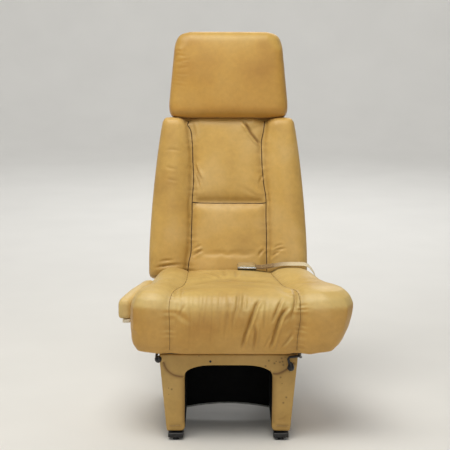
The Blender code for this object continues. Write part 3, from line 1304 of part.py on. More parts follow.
def belt_parts():
    """Right half of the lap belt: anchor, shackle, webbing, buckle and its lift cover."""
    path = belt_path()
    low_y, high_y = BELT_Y - 0.5 * BELT_WIDTH, BELT_Y + 0.5 * BELT_WIDTH
    webbing = flat_outline("belt_webbing", [ribbon(path, BELT_THICK)], low_y, high_y, "XZ")
    finish(webbing, "belt_webbing", "webbing")
    side_x = path[-1][0]
    shackle_top = BELT_LOW_Z - GAP
    shackle = block(
        "belt_shackle",
        (side_x - 0.5 * ANCHOR_THICK, low_y + 0.003, RAIL_TOP - ANCHOR_HEIGHT - 0.004),
        (side_x + 0.5 * ANCHOR_THICK, high_y - 0.003, shackle_top),
    )
    finish(bevel(shackle, 0.0012, 1), "belt_shackle", "zinc_steel")
    anchor = block(
        "belt_anchor",
        (RAIL_OUTER + GAP, BELT_Y - 0.5 * ANCHOR_WIDTH, RAIL_TOP - ANCHOR_HEIGHT),
        (side_x - 0.5 * ANCHOR_THICK - GAP, BELT_Y + 0.5 * ANCHOR_WIDTH, RAIL_TOP - GAP),
    )
    finish(bevel(anchor, 0.002, 1), "belt_anchor", "zinc_steel")
    right = BELT_INNER_X - GAP
    left = right - BUCKLE_LENGTH
    low = max(cushion_top(x, BELT_Y) for x in (left, right)) + 0.0025
    body = block("buckle_body", (left, low_y - 0.001, low), (right, high_y + 0.001, low + BUCKLE_HEIGHT))
    finish(bevel(body, 0.0018, 2), "buckle_body", "black_steel")
    lift = low + BUCKLE_HEIGHT + GAP
    pin_z = lift + BUCKLE_HINGE_RADIUS
    pin_x = right - BUCKLE_PIN_INSET
    cover_low = (left + 0.003, low_y + 0.002, lift)
    cover = block("buckle_cover", cover_low, (pin_x, high_y - 0.002, lift + BUCKLE_COVER_HEIGHT))
    pin_ends = (pin_x, low_y + 0.001, pin_z), (pin_x, high_y - 0.001, pin_z)
    join(cover, rod("buckle_pin", *pin_ends, BUCKLE_HINGE_RADIUS, sides=16))
    finish(cover, "buckle_cover", "chrome")
    hang(joint_axis("buckle_cover_axis", (pin_x, BELT_Y, pin_z)), cover)


legs_and_frame()
seat_pan()
front_shroud()
side_covers()
seat_cushion()
hinge_brackets()
RECLINE_AXIS = joint_axis("recline_axis", HINGE, turn=(-LEAN, 0.0, 0.0))
back_parts(RECLINE_AXIS)
headrest_parts(joint_axis("headrest_axis", (0.0, 0.0, 0.0), RECLINE_AXIS))
armrest_parts()
strut_parts()
recline_lever()
track_lever()
lock_plungers()
belt_parts()


def place_origin():
    """Carries the whole seat on one empty that puts its middle over the origin."""
    origin = bpy.data.objects.new("seat_origin", None)
    SEAT.objects.link(origin)
    origin.location = (-WIDTH_MIDDLE, -DEPTH_MIDDLE, 0.0)
    for obj in list(SEAT.objects) + list(CUTTERS.objects):
        if obj.parent is None and obj is not origin:
            obj.parent = origin


place_origin()
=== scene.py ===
"""Dressed model of a leather cabin seat: upholstery, covered pedestal, levers and lap belt."""
import json
import math

import bmesh
import bpy
import numpy as np
from mathutils import Matrix, Vector
from mathutils.bvhtree import BVHTree
from mathutils.kdtree import KDTree


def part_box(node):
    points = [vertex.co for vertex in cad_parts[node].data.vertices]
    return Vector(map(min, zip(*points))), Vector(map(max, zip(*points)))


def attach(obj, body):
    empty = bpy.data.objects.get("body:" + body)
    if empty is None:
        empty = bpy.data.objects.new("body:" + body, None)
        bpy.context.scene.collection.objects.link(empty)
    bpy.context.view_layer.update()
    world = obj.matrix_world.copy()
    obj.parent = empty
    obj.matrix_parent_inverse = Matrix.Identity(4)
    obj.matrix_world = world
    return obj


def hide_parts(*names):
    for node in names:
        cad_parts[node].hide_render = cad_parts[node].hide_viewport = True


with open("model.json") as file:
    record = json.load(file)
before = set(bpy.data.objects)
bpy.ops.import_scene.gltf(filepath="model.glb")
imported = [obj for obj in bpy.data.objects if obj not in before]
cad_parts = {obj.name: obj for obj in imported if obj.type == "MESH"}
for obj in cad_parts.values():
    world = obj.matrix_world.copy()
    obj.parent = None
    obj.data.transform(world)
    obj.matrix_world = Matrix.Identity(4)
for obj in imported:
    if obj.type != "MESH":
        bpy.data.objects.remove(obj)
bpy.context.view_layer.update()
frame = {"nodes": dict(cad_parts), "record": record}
NODES = frame["nodes"]
SCENE = bpy.context.scene

# Places in metres, in the part's own frame
PAN_TOP = 0.2478
# The back's hinge and its lean at rest
HINGE = Vector((-0.020, 0.1405, 0.335))
LEAN = math.radians(12.0)
# The pedestal's front face
FACE_Y = -0.2611
# Scuffs on the pedestal's front: X, Z and radius
SCUFFS = [
    (0.1196, 0.2255, 0.0017), (0.1242, 0.2072, 0.0022), (0.1172, 0.1736, 0.0017), (0.1254, 0.1030, 0.0014),
    (0.0774, 0.2041, 0.0016), (0.0907, 0.1888, 0.0013), (0.1150, 0.2150, 0.0011), (0.1008, 0.2117, 0.0012),
    (0.1222, 0.2165, 0.0013), (0.1330, 0.1180, 0.0015), (0.0860, 0.2190, 0.0011), (-0.1700, 0.1400, 0.0010),
]


# Colour and shader helpers
def linear(code):
    """sRGB hex code to the linear colour that a shader socket takes."""
    parts = [int(code[i:i + 2], 16) / 255.0 for i in (1, 3, 5)]
    return [c / 12.92 if c <= 0.04045 else ((c + 0.055) / 1.055) ** 2.4 for c in parts] + [1.0]


def add(tree, kind, inputs=None, **settings):
    """Adds a node: its settings, then its inputs, each a value or a socket to link from."""
    node = tree.nodes.new(kind)
    for key, value in settings.items():
        setattr(node, key, value)
    for key, value in (inputs or {}).items():
        if isinstance(value, bpy.types.NodeSocket):
            tree.links.new(value, node.inputs[key])
        else:
            node.inputs[key].default_value = value
    return node


def blank(name):
    """New material with a node tree and its Principled shader."""
    made = bpy.data.materials.new(name)
    made.use_nodes = True
    tree = made.node_tree
    return made, tree, tree.nodes["Principled BSDF"]


def ramp(tree, factor, stops):
    """Colour ramp from (position, colour) stops."""
    node = add(tree, "ShaderNodeValToRGB", {"Fac": factor})
    band = node.color_ramp.elements
    while len(band) < len(stops):
        band.new(0.5)
    for element, (place, colour) in zip(band, stops):
        element.position = place
        element.color = colour if isinstance(colour, list) else [colour] * 3 + [1.0]
    return node.outputs["Color"]


def mixed(tree, share, first, second, blend="MIX"):
    """The second colour laid over the first, by a share."""
    inputs = {0: share, 6: first, 7: second}
    return add(tree, "ShaderNodeMix", inputs, data_type="RGBA", blend_type=blend).outputs[2]


def maths(tree, operation, first, second):
    """Result of one operation on two values."""
    return add(tree, "ShaderNodeMath", {0: first, 1: second}, operation=operation).outputs[0]


def noise(tree, place, scale, detail, **more):
    """Soft noise in lumps of about 1 / scale metres."""
    inputs = {"Vector": place, "Scale": scale, "Detail": detail, **more}
    return add(tree, "ShaderNodeTexNoise", inputs).outputs["Fac"]


def bump(tree, strength, distance, height, **more):
    """Relief of a height in metres, as a normal."""
    inputs = {"Strength": strength, "Distance": distance, "Height": height, **more}
    return add(tree, "ShaderNodeBump", inputs).outputs["Normal"]


# Leather and the other finishes
# Painted shade and painted light: what the dye is multiplied by where the hide faces sideways or down, and
# where it faces up
PAINTED_SHADE_SIDE_AND_UNDER = [0.92, 0.71, 0.44, 1.0]
PAINTED_LIGHT_ON_TOP = [0.96, 0.92, 0.80, 1.0]
# Where shoes leave most specks on the pedestal
SPECKS_AT = (0.125, -0.261, 0.20)


def leather(name, hide="#C8A05A", worn="#E0C185", deep="#AC8240", painted_facing_light=0.0, soiled=False):
    """Corrected-grain upholstery hide, dyed tan and lacquered satin: even, softly glossy, paler where it is
    rubbed, browned by painted shade in its folds and along its seams, paler by painted light where it faces
    up and browner by painted shade where it faces sideways or down."""
    made, tree, shader = blank(name)
    place = add(tree, "ShaderNodeTexCoord").outputs["Object"]
    # Patches of handling, about 150 mm across
    patches = noise(tree, place, 6.5, 3.0, Roughness=0.5)
    # Dye mottling of about 12 mm, and clouding of about 40 mm
    mottle = noise(tree, place, 85.0, 4.0, Roughness=0.65)
    cloud = noise(tree, place, 24.0, 3.0, Roughness=0.6)
    tone = ramp(tree, patches, [(0.30, linear(deep)), (0.50, linear(hide)), (0.72, linear(worn))])
    fine_dye = ramp(tree, mottle, [(0.28, 0.90), (0.72, 1.0)])
    broad_dye = ramp(tree, cloud, [(0.30, 0.92), (0.70, 1.0)])
    dye = mixed(tree, 1.0, fine_dye, broad_dye, "MULTIPLY")
    base = mixed(tree, 0.50, linear(hide), tone)
    dyed = mixed(tree, 1.0, base, dye, "MULTIPLY")
    # Painted light and shade: the hide is paler where it faces up and browner where it faces sideways or
    # down
    facing = add(tree, "ShaderNodeNewGeometry").outputs["Normal"]
    up = add(tree, "ShaderNodeSeparateXYZ", {0: facing}).outputs["Z"]
    turned = ramp(tree, up, [(0.0, PAINTED_SHADE_SIDE_AND_UNDER), (0.5, 1.0), (1.0, PAINTED_LIGHT_ON_TOP)])
    dyed = mixed(tree, painted_facing_light, dyed, turned, "MULTIPLY")
    if soiled:
        # Scattered specks under 3 mm from shoes, in cells of about 16 mm and thickest at the upper
        # right of the pedestal, and the scuffs that have bruised through the lacquer
        dots = add(tree, "ShaderNodeTexVoronoi", {"Vector": place, "Scale": 62.0, "Randomness": 1.0})
        sizes = add(tree, "ShaderNodeSeparateColor", {0: dots.outputs["Color"]}).outputs[0]
        away = add(tree, "ShaderNodeVectorMath", {0: place, 1: SPECKS_AT}, operation="DISTANCE")
        chance = ramp(tree, away.outputs["Value"], [(0.03, 0.45), (0.12, 0.93)])
        kept = maths(tree, "GREATER_THAN", sizes, chance)
        near = maths(tree, "LESS_THAN", dots.outputs["Distance"], 0.085)
        speck = maths(tree, "MULTIPLY", kept, near)
        for x, z, radius in SCUFFS:
            centre = {0: place, 1: (x, FACE_Y, z)}
            far = add(tree, "ShaderNodeVectorMath", centre, operation="DISTANCE").outputs["Value"]
            mark = ramp(tree, far, [(0.6 * radius, 1.0), (1.2 * radius, 0.0)])
            speck = maths(tree, "MAXIMUM", speck, mark)
        dyed = mixed(tree, maths(tree, "MULTIPLY", speck, 0.8), dyed, linear("#4A3418"))
    # Painted shade: the hide is darkened brown in its seams, folds and hollows, by a share stored at each
    # point
    fold = add(tree, "ShaderNodeAttribute", attribute_name="fold").outputs["Fac"]
    colour = mixed(tree, fold, dyed, linear("#8A6230"), "MULTIPLY")
    tree.links.new(colour, shader.inputs["Base Color"])
    # Hair-cell grain of the print in cells of 2 mm
    pores = {"Vector": place, "Scale": 500.0}
    grain = add(tree, "ShaderNodeTexVoronoi", pores, feature="DISTANCE_TO_EDGE").outputs["Distance"]
    cells = ramp(tree, grain, [(0.0, 0.0), (0.28, 1.0)])
    # Fine stretch creases of about 6 mm
    creases = noise(tree, place, 160.0, 4.0, Distortion=0.5)
    relief = bump(tree, 0.16, 0.0010, creases, Normal=bump(tree, 0.14, 0.0006, cells))
    tree.links.new(relief, shader.inputs["Normal"])
    tree.links.new(ramp(tree, cloud, [(0.30, 0.50), (0.70, 0.40)]), shader.inputs["Roughness"])
    shader.inputs["IOR"].default_value = 1.46
    shader.inputs["Specular IOR Level"].default_value = 0.55
    shader.inputs["Sheen Weight"].default_value = 0.05
    shader.inputs["Sheen Roughness"].default_value = 0.45
    return made


def webbing_weave(name):
    """Cream polyester webbing in a ribbed herringbone weave, dull, with paler raised threads, and browned
    as painted shade near the buckle.
    """
    made, tree, shader = blank(name)
    place = add(tree, "ShaderNodeTexCoord").outputs["Object"]
    # Ribs across the strap every 3.3 mm and warp threads every 2.4 mm
    wave = {"Vector": place, "Scale": 95.0, "Distortion": 0.4}
    ribs = add(tree, "ShaderNodeTexWave", wave, bands_direction="X").outputs["Fac"]
    wave = {"Vector": place, "Scale": 130.0, "Distortion": 0.3}
    warp = add(tree, "ShaderNodeTexWave", wave, bands_direction="Y").outputs["Fac"]
    woven = maths(tree, "MULTIPLY", ribs, warp)
    cream_weave = ramp(tree, woven, [(0.0, linear("#C9B78E")), (0.6, linear("#EFE4C8"))])
    painted_shade_weave = ramp(tree, woven, [(0.0, linear("#6E5430")), (0.6, linear("#9A7A4A"))])
    # Painted shade: the webbing is browned for 60 mm from the buckle
    across = add(tree, "ShaderNodeSeparateXYZ", {0: place}).outputs["X"]
    grip = ramp(tree, across, [(0.100, 0.0), (0.160, 1.0)])
    tree.links.new(mixed(tree, grip, painted_shade_weave, cream_weave), shader.inputs["Base Color"])
    tree.links.new(bump(tree, 0.5, 0.0005, woven), shader.inputs["Normal"])
    shader.inputs["Roughness"].default_value = 0.82
    shader.inputs["Sheen Weight"].default_value = 0.15
    return made


def metal(name, pale, dark, roughness, stretch=(1.0, 1.0, 1.0), streaks=300.0, worn=0.12):
    """Bare or plated metal: fine streaks along its working direction and a little handling haze."""
    made, tree, shader = blank(name)
    place = add(tree, "ShaderNodeTexCoord").outputs["Object"]
    drawn = add(tree, "ShaderNodeMapping", {"Vector": place, "Scale": stretch}).outputs[0]
    fine = noise(tree, drawn, streaks, 4.0)
    haze = noise(tree, place, 28.0, 5.0)
    colour = ramp(tree, haze, [(0.32, linear(dark)), (0.62, linear(pale))])
    tree.links.new(colour, shader.inputs["Base Color"])
    rough = ramp(tree, fine, [(0.2, max(0.04, roughness - worn)), (0.8, roughness + worn)])
    tree.links.new(rough, shader.inputs["Roughness"])
    tree.links.new(bump(tree, 0.10, 0.0003, fine), shader.inputs["Normal"])
    shader.inputs["Metallic"].default_value = 1.0
    return made


def coated(name, colour, scuffed, roughness, grit=900.0, depth=0.0002, specular=0.5):
    """Paint, plastic or waxed thread: even colour, a fine orange-peel texture and pale scuffs."""
    made, tree, shader = blank(name)
    place = add(tree, "ShaderNodeTexCoord").outputs["Object"]
    peel = noise(tree, place, grit, 2.0)
    scuffs = noise(tree, place, 60.0, 6.0, Roughness=0.7)
    shade = ramp(tree, scuffs, [(0.58, linear(colour)), (0.82, linear(scuffed))])
    tree.links.new(shade, shader.inputs["Base Color"])
    rough = ramp(tree, scuffs, [(0.35, roughness), (0.75, min(0.95, roughness + 0.18))])
    tree.links.new(rough, shader.inputs["Roughness"])
    tree.links.new(bump(tree, 0.25, depth, peel), shader.inputs["Normal"])
    shader.inputs["Specular IOR Level"].default_value = specular
    return made


CUSHION_HIDE = leather(
    "cushion_hide_tan", hide="#D4B772", worn="#E2C88E", deep="#B58D4A", painted_facing_light=1.0)
BACK_HIDE = leather("back_hide_tan", hide="#D2AA5C")
HEAD_HIDE = leather(
    "headrest_hide_tan", hide="#C7A152", worn="#D7B76F", deep="#A87C38", painted_facing_light=0.8)
ARM_HIDE = leather("armrest_hide_tan", hide="#DCBD78", worn="#E8D096")
COVER_HIDE = leather(
    "pedestal_hide_tan", hide="#C29B53", worn="#D3AE69", deep="#966E2C", soiled=True)
WEBBING = webbing_weave("belt_webbing_cream_and_painted_shade")
ALLOY = metal("frame_aluminium_brushed", "#B4B6B8", "#8F9295", 0.34, (1.0, 0.05, 1.0))
ZINC = metal("bracket_steel_zinc_plated", "#C4C2B8", "#96958E", 0.30)
CHROME = metal("post_steel_chrome_plated", "#E2E3E4", "#C9CBCD", 0.10, worn=0.04)
BLACK_STEEL = coated("fitting_steel_black_enamel", "#17171A", "#4A4844", 0.38)
BLACK_PLASTIC = coated("grip_phenolic_black", "#0E0E10", "#2C2B2A", 0.24)
CREAM_PLASTIC = coated("armrest_base_abs_cream", "#E6DDC6", "#C9BD9F", 0.42)
# Near-black, dull liner under the seat, so dark also as painted shade in that cavity
BLACK_LINER_AND_PAINTED_SHADE = coated(
    "liner_abs_black_haircell_and_painted_shade", "#050506", "#0E0D0C", 0.70, grit=500.0, depth=0.0004, specular=0.12)
# Seam threads, dark and unbroken in each channel, so they also stand in as painted shade there
BACK_THREAD_AND_SHADE = coated("bonded_nylon_thread_dark_brown_and_painted_shade", "#432E13", "#59401F", 0.60)
SEAT_THREAD_AND_SHADE = coated("bonded_nylon_thread_brown_and_painted_shade", "#7E5F2E", "#92713C", 0.60)
PALE_THREAD = coated("bonded_nylon_thread_cream", "#C9B080", "#DCC79C", 0.60)


# Mesh helpers
def coords(mesh):
    """A mesh's points, as rows of X, Y and Z."""
    flat = np.empty(len(mesh.vertices) * 3)
    mesh.vertices.foreach_get("co", flat)
    return flat.reshape(-1, 3)


def normals(mesh):
    """The outward direction at each point of a mesh."""
    flat = np.empty(len(mesh.vertices) * 3)
    mesh.vertices.foreach_get("normal", flat)
    return flat.reshape(-1, 3)


def set_coords(mesh, points):
    """Moves a mesh's points to new places."""
    mesh.vertices.foreach_set("co", points.ravel())
    mesh.update()


def baked(obj):
    """Applies an object's modifiers by swapping in its evaluated mesh."""
    bpy.context.view_layer.update()
    made = bpy.data.meshes.new_from_object(obj.evaluated_get(bpy.context.evaluated_depsgraph_get()))
    obj.modifiers.clear()
    old, obj.data = obj.data, made
    bpy.data.meshes.remove(old)


def new_object(name, mesh, material):
    """Object of one material, in the scene."""
    obj = bpy.data.objects.new(name, mesh)
    SCENE.collection.objects.link(obj)
    mesh.materials.clear()
    mesh.materials.append(material)
    return obj


def solid_copy(node, name, material):
    """Copy of a CAD solid with its shared corners welded."""
    mesh = NODES[node].data.copy()
    mesh.name = name
    bm = bmesh.new()
    bm.from_mesh(mesh)
    bmesh.ops.remove_doubles(bm, verts=bm.verts, dist=1e-6)
    bm.to_mesh(mesh)
    bm.free()
    return new_object(name, mesh, material)


def steps(points, pitch=0.0015):
    """Points every pitch metres along a line, with each one's share of the whole length."""
    points = [Vector(p) for p in points]
    spans = [(b - a).length for a, b in zip(points, points[1:])]
    total, done, out = sum(spans), 0.0, []
    for a, b, span in zip(points, points[1:], spans):
        count = max(1, round(span / pitch))
        out += [(a.lerp(b, k / count), (done + span * k / count) / total) for k in range(count)]
        done += span
    return out + [(points[-1], 1.0)]


def curve_through(points, count=12):
    """Smooth line through points, by Catmull-Rom."""
    pts = [Vector(p) for p in points]
    ends = [2 * pts[0] - pts[1]] + pts + [2 * pts[-1] - pts[-2]]
    out = []
    for a, b, c, d in zip(ends, ends[1:], ends[2:], ends[3:]):
        for k in range(count):
            t = k / count
            square, cube = 2 * a - 5 * b + 4 * c - d, 3 * b - a - 3 * c + d
            out.append(0.5 * (2 * b + (c - a) * t + square * t * t + cube * t ** 3))
    return out + [pts[-1]]


def snapped(points, tree):
    """The line laid on a surface."""
    return [tree.find_nearest(p)[0] for p in curve_through(points)]


def tube(name, path, radius, material, body, sides=8):
    """Round thread or stud swept along a line, riding on a body."""
    path = [Vector(p) for p in path]
    bm = bmesh.new()
    side, rings = None, []
    for k, point in enumerate(path):
        ahead = (path[min(k + 1, len(path) - 1)] - path[max(k - 1, 0)]).normalized()
        side = ahead.orthogonal() if side is None else side - ahead * side.dot(ahead)
        side.normalize()
        across = ahead.cross(side)
        turns = [2.0 * math.pi * j / sides for j in range(sides)]
        spokes = [math.cos(t) * side + math.sin(t) * across for t in turns]
        rings.append([bm.verts.new(point + radius * spoke) for spoke in spokes])
    for low, high in zip(rings, rings[1:]):
        for j in range(sides):
            bm.faces.new((low[j], low[(j + 1) % sides], high[(j + 1) % sides], high[j])).smooth = True
    bm.faces.new(rings[0][::-1])
    bm.faces.new(rings[-1])
    mesh = bpy.data.meshes.new(name)
    bm.to_mesh(mesh)
    bm.free()
    obj = new_object(name, mesh, material)
    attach(obj, body)
    return obj


def dashes(name, line, pitch, share, radius, material, body):
    """Row of stitches: short tubes along a line, joined into one piece."""
    marks = [p for p, _ in steps(line, pitch)]
    made = [
        tube(f"{name}_{k}", [a, a.lerp(b, 0.5 * share), a.lerp(b, share)], radius, material, body, 6)
        for k, (a, b) in enumerate(zip(marks, marks[1:]))
    ]
    bm = bmesh.new()
    for obj in made:
        bm.from_mesh(obj.data)
    mesh = bpy.data.meshes.new(name)
    bm.to_mesh(mesh)
    bm.free()
    for obj in made:
        bpy.data.objects.remove(obj)
    row = new_object(name, mesh, material)
    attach(row, body)
    return row


def surface(mesh):
    """Tree that finds the nearest place on a mesh."""
    bm = bmesh.new()
    bm.from_mesh(mesh)
    tree = BVHTree.FromBMesh(bm)
    bm.free()
    return tree


def reach(points, line):
    """Each point's distance to a line, how far along the line its nearest place is, and on which side
    it lies: 1 for +X of the line, -1 for -X."""
    marks = steps(line)
    tree = KDTree(len(marks))
    for k, (mark, _) in enumerate(marks):
        tree.insert(mark, k)
    tree.balance()
    # Points over 50 mm from the line's own box are left at a great distance
    low = np.min([m for m, _ in marks], axis=0) - 0.05
    high = np.max([m for m, _ in marks], axis=0) + 0.05
    near = np.all((points > low) & (points < high), axis=1)
    far = np.full(len(points), 9.0)
    along = np.zeros(len(points))
    side = np.zeros(len(points))
    for k in np.flatnonzero(near):
        place, mark, distance = tree.find(points[k])
        far[k] = distance
        along[k] = marks[mark][1]
        side[k] = np.clip((points[k][0] - place.x) / 0.001, -1.0, 1.0)
    return far, along, side


def crease(points, line, depth, width, fade=0.0, swell=0.0, lean=0.0, pucker=0.0, pitch=0.016,
           halo=0.4):
    """How far a line pressed into a padded surface moves each point, as a channel, the swell of leather
    beside it, which may lean to one side, and gathers that run off it, and how much painted shade darkens
    each point."""
    far, along, side = reach(points, line)
    ends = np.clip(np.minimum(along, 1.0 - along) / max(fade, 1e-6), 0.0, 1.0) if fade else 1.0
    inside = np.exp(-((far / width) ** 2)) * ends
    around = np.exp(-((far / (2.6 * width)) ** 2)) * ends
    # The leather swells beside the channel, and the gathers run off it for four widths
    beside = np.exp(-(((far - 2.2 * width) / (1.3 * width)) ** 2)) * ends * (1.0 + lean * side)
    length = sum((b - a).length for a, b in zip(line, line[1:]))
    turns = along * length / pitch * 2.0 * math.pi
    gather = np.sin(turns + 1.3 * np.sin(0.37 * turns) + 0.9 * np.sin(0.23 * turns + 1.0))
    off = np.exp(-((far / (4.0 * width)) ** 2)) * (1.0 - np.exp(-((far / width) ** 2)))
    rise = -depth * inside + swell * beside + pucker * gather * off * ends
    return rise, (1.0 - halo) * inside + halo * around


def smooth(obj):
    """Shades an object's faces smoothly."""
    obj.data.polygons.foreach_set("use_smooth", [True] * len(obj.data.polygons))


# Padded pieces
def swell_cloth(obj, pinned, pressure, frames=20):
    """Leather over foam: the skin is pinned at its seams and blown up between them."""
    group = obj.vertex_groups.new(name="pinned")
    for k in np.flatnonzero(pinned > 0.01):
        group.add([int(k)], float(pinned[k]), "REPLACE")
    cloth = obj.modifiers.new("skin", "CLOTH")
    settings = cloth.settings
    settings.quality = 3
    settings.mass = 0.3
    settings.tension_stiffness = 25.0
    settings.compression_stiffness = 25.0
    settings.shear_stiffness = 12.0
    settings.bending_stiffness = 4.0
    settings.tension_damping = 15.0
    settings.compression_damping = 15.0
    settings.air_damping = 4.0
    settings.use_pressure = True
    settings.uniform_pressure_force = pressure
    settings.vertex_group_mass = "pinned"
    settings.effector_weights.gravity = 0.0
    cloth.point_cache.frame_start = 1
    cloth.point_cache.frame_end = frames
    for step in range(1, frames + 1):
        SCENE.frame_set(step)
    baked(obj)
    SCENE.frame_set(1)


def drawn_out(points, node, spare=0.0004, low_proud=(0.0, 0.0, 0.0)):
    """Stretches a cover to its solid's own box, less a spare, and proud of its low sides."""
    low, high = (np.array(corner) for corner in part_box(node))
    low = low + spare - np.array(low_proud)
    high = high - spare
    near, far = points.min(0), points.max(0)
    return low + (points - near) * (high - low) / (far - near)


def evened(obj, lines, width, passes):
    """Fills channels and rounds off corners along lines, so that each seam is sewn where it runs."""
    points = coords(obj.data)
    near = np.zeros(len(points))
    for line in lines:
        far = reach(points, [Vector(p) for p in line])[0]
        near = np.maximum(near, np.clip((width - far) / (0.3 * width), 0.0, 1.0))
    group = obj.vertex_groups.new(name="evened")
    for k in np.flatnonzero(near > 0.01):
        group.add([int(k)], float(near[k]), "REPLACE")
    even = obj.modifiers.new("filled", "SMOOTH")
    even.factor = 0.5
    even.iterations = passes
    even.vertex_group = group.name
    baked(obj)


def remeshed(obj, voxel, passes):
    """Gives a solid an even grid of faces and softly turned edges."""
    grid = obj.modifiers.new("grid", "REMESH")
    grid.mode = "VOXEL"
    grid.voxel_size = voxel
    even = obj.modifiers.new("even", "SMOOTH")
    even.factor = 0.5
    even.iterations = passes
    baked(obj)


# How far beside a seam its channel is filled, and smoothing passes there and at a corner
CHANNEL_WIDTH = 0.030
CHANNEL_PASSES = 90
CORNER_PASSES = 80


def upholstered(node, name, hide, seams, voxel=0.0050, shrink=0.003, cap=0.010, pressure=4.0,
                passes=6, flat=None, rounded=(), low_proud=(0.0, 0.0, 0.0)):
    """Cushion from its plain solid: remeshed, drawn in at its seams, swollen no further than a cap,
    and refined. The flat part is held where it is, and the rounded lines are corners to soften."""
    obj = solid_copy(node, name, hide)
    remeshed(obj, voxel, passes)
    if seams:
        evened(obj, [line for line, _ in seams], CHANNEL_WIDTH, CHANNEL_PASSES)
    for line, width in rounded:
        evened(obj, [line], width, CORNER_PASSES)
    rest = coords(obj.data)
    outward = normals(obj.data)
    skin = surface(obj.data)
    lines = [snapped(line, skin) for line, _ in seams]
    pinned = np.zeros(len(rest))
    start = rest - outward * shrink
    for line, (_, depth) in zip(lines, seams):
        far = reach(rest, line)[0]
        start -= outward * (depth * np.exp(-((far / (2.2 * voxel)) ** 2)))[:, None]
        pinned = np.maximum(pinned, np.clip(1.5 - far / voxel, 0.0, 1.0))
    if flat is not None:
        held = flat(rest)
        start += outward * (shrink * held)[:, None]
        pinned = np.maximum(pinned, held)
    set_coords(obj.data, start)
    if pressure:
        swell_cloth(obj, pinned, pressure)
        swollen = coords(obj.data)
        step = swollen - rest
        size = np.linalg.norm(step, axis=1)
        step *= np.minimum(1.0, cap / np.maximum(size, 1e-9))[:, None]
        set_coords(obj.data, rest + step)
    set_coords(obj.data, drawn_out(coords(obj.data), node, low_proud=low_proud))
    finer = obj.modifiers.new("finer", "SUBSURF")
    finer.levels = 1
    finer.render_levels = 1
    baked(obj)
    smooth(obj)
    return obj, lines


def folded(obj, folds):
    """Presses seams, creases and gathers into a cover, and stores how much painted shade darkens each
    point.
    """
    mesh = obj.data
    points = coords(mesh)
    deep = np.zeros(len(points))
    total = np.zeros(len(points))
    for line, shade, values in folds:
        rise, inside = crease(points, line, **values)
        total += rise
        deep = np.maximum(deep, shade * inside)
    set_coords(mesh, points + normals(mesh) * total[:, None])
    store = mesh.attributes.new("fold", "FLOAT", "POINT")
    store.data.foreach_set("value", deep)
    return obj


def folds_on(obj, rows, shade):
    """Creases from rows of depth, width, fade, lean and points, laid on the surface."""
    skin = surface(obj.data)
    made = []
    for depth, width, fade, lean, points in rows:
        values = dict(depth=depth, width=width, fade=fade, swell=0.5 * depth, lean=lean, halo=0.1)
        made.append((snapped(points, skin), min(1.0, shade * depth / 0.004), values))
    return made


def settle(obj, node, body):
    """Puts a padded cover in the place of its solid, which is hidden, and sets it riding on a body."""
    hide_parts(node)
    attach(obj, body)


def eased(points, passes):
    """Smooths a line's points between its fixed ends."""
    line = np.array(points)
    for _ in range(passes):
        line[1:-1] = 0.5 * line[1:-1] + 0.25 * (line[:-2] + line[2:])
    return line


def seam_threads(obj, lines, name, body, thread, sink, radius):
    """Thread laid in the bottom of each seam, dark so that it also paints the channel's shade as a line."""
    skin = surface(obj.data)
    for k, line in enumerate(lines):
        marks = eased([p for p, _ in steps(line, 0.005)], 12)
        outward = eased([skin.find_nearest(Vector(m))[1] for m in marks], 40)
        path = []
        for mark, out in zip(marks, outward):
            out = Vector(out).normalized()
            hit = skin.ray_cast(Vector(mark) + 0.03 * out, -out, 0.06)[0]
            path.append((hit if hit is not None else Vector(mark)) - sink * out)
        tube(f"{name}_{k}", [Vector(p) for p in eased(path, 4)], radius, thread, body)


# The seat cushion's seams, from the rear over the roll to the lower edge. Every point of a seam or
# fold is near the cover, and is laid on it.
SEAT_LEFT = [
    (-0.130, 0.075, 0.396), (-0.131, 0.052, 0.396), (-0.134, 0.008, 0.396), (-0.135, -0.051, 0.394),
    (-0.140, -0.105, 0.393), (-0.150, -0.156, 0.397), (-0.162, -0.224, 0.405), (-0.171, -0.271, 0.402),
    (-0.175, -0.291, 0.386), (-0.176, -0.301, 0.359), (-0.175, -0.303, 0.321), (-0.175, -0.303, 0.289),
    (-0.174, -0.302, 0.256),
]
SEAT_RIGHT = [
    (0.094, 0.075, 0.396), (0.096, 0.050, 0.396), (0.101, 0.021, 0.395), (0.111, -0.039, 0.395),
    (0.124, -0.097, 0.393), (0.143, -0.180, 0.401), (0.158, -0.245, 0.407), (0.165, -0.285, 0.394),
    (0.168, -0.301, 0.360), (0.166, -0.302, 0.325), (0.162, -0.301, 0.295), (0.159, -0.300, 0.256),
]
# The lower front corners turn up softly, each over its width
SEAT_CORNERS = [
    ([
        (-0.252, -0.300, 0.256), (-0.268, -0.280, 0.258), (-0.272, -0.240, 0.258), (-0.262, -0.170, 0.258),
        (-0.245, -0.090, 0.258),
    ], 0.055),
    ([
        (0.246, -0.300, 0.256), (0.264, -0.280, 0.258), (0.269, -0.240, 0.258), (0.262, -0.170, 0.258),
        (0.230, -0.090, 0.258),
    ], 0.055),
]
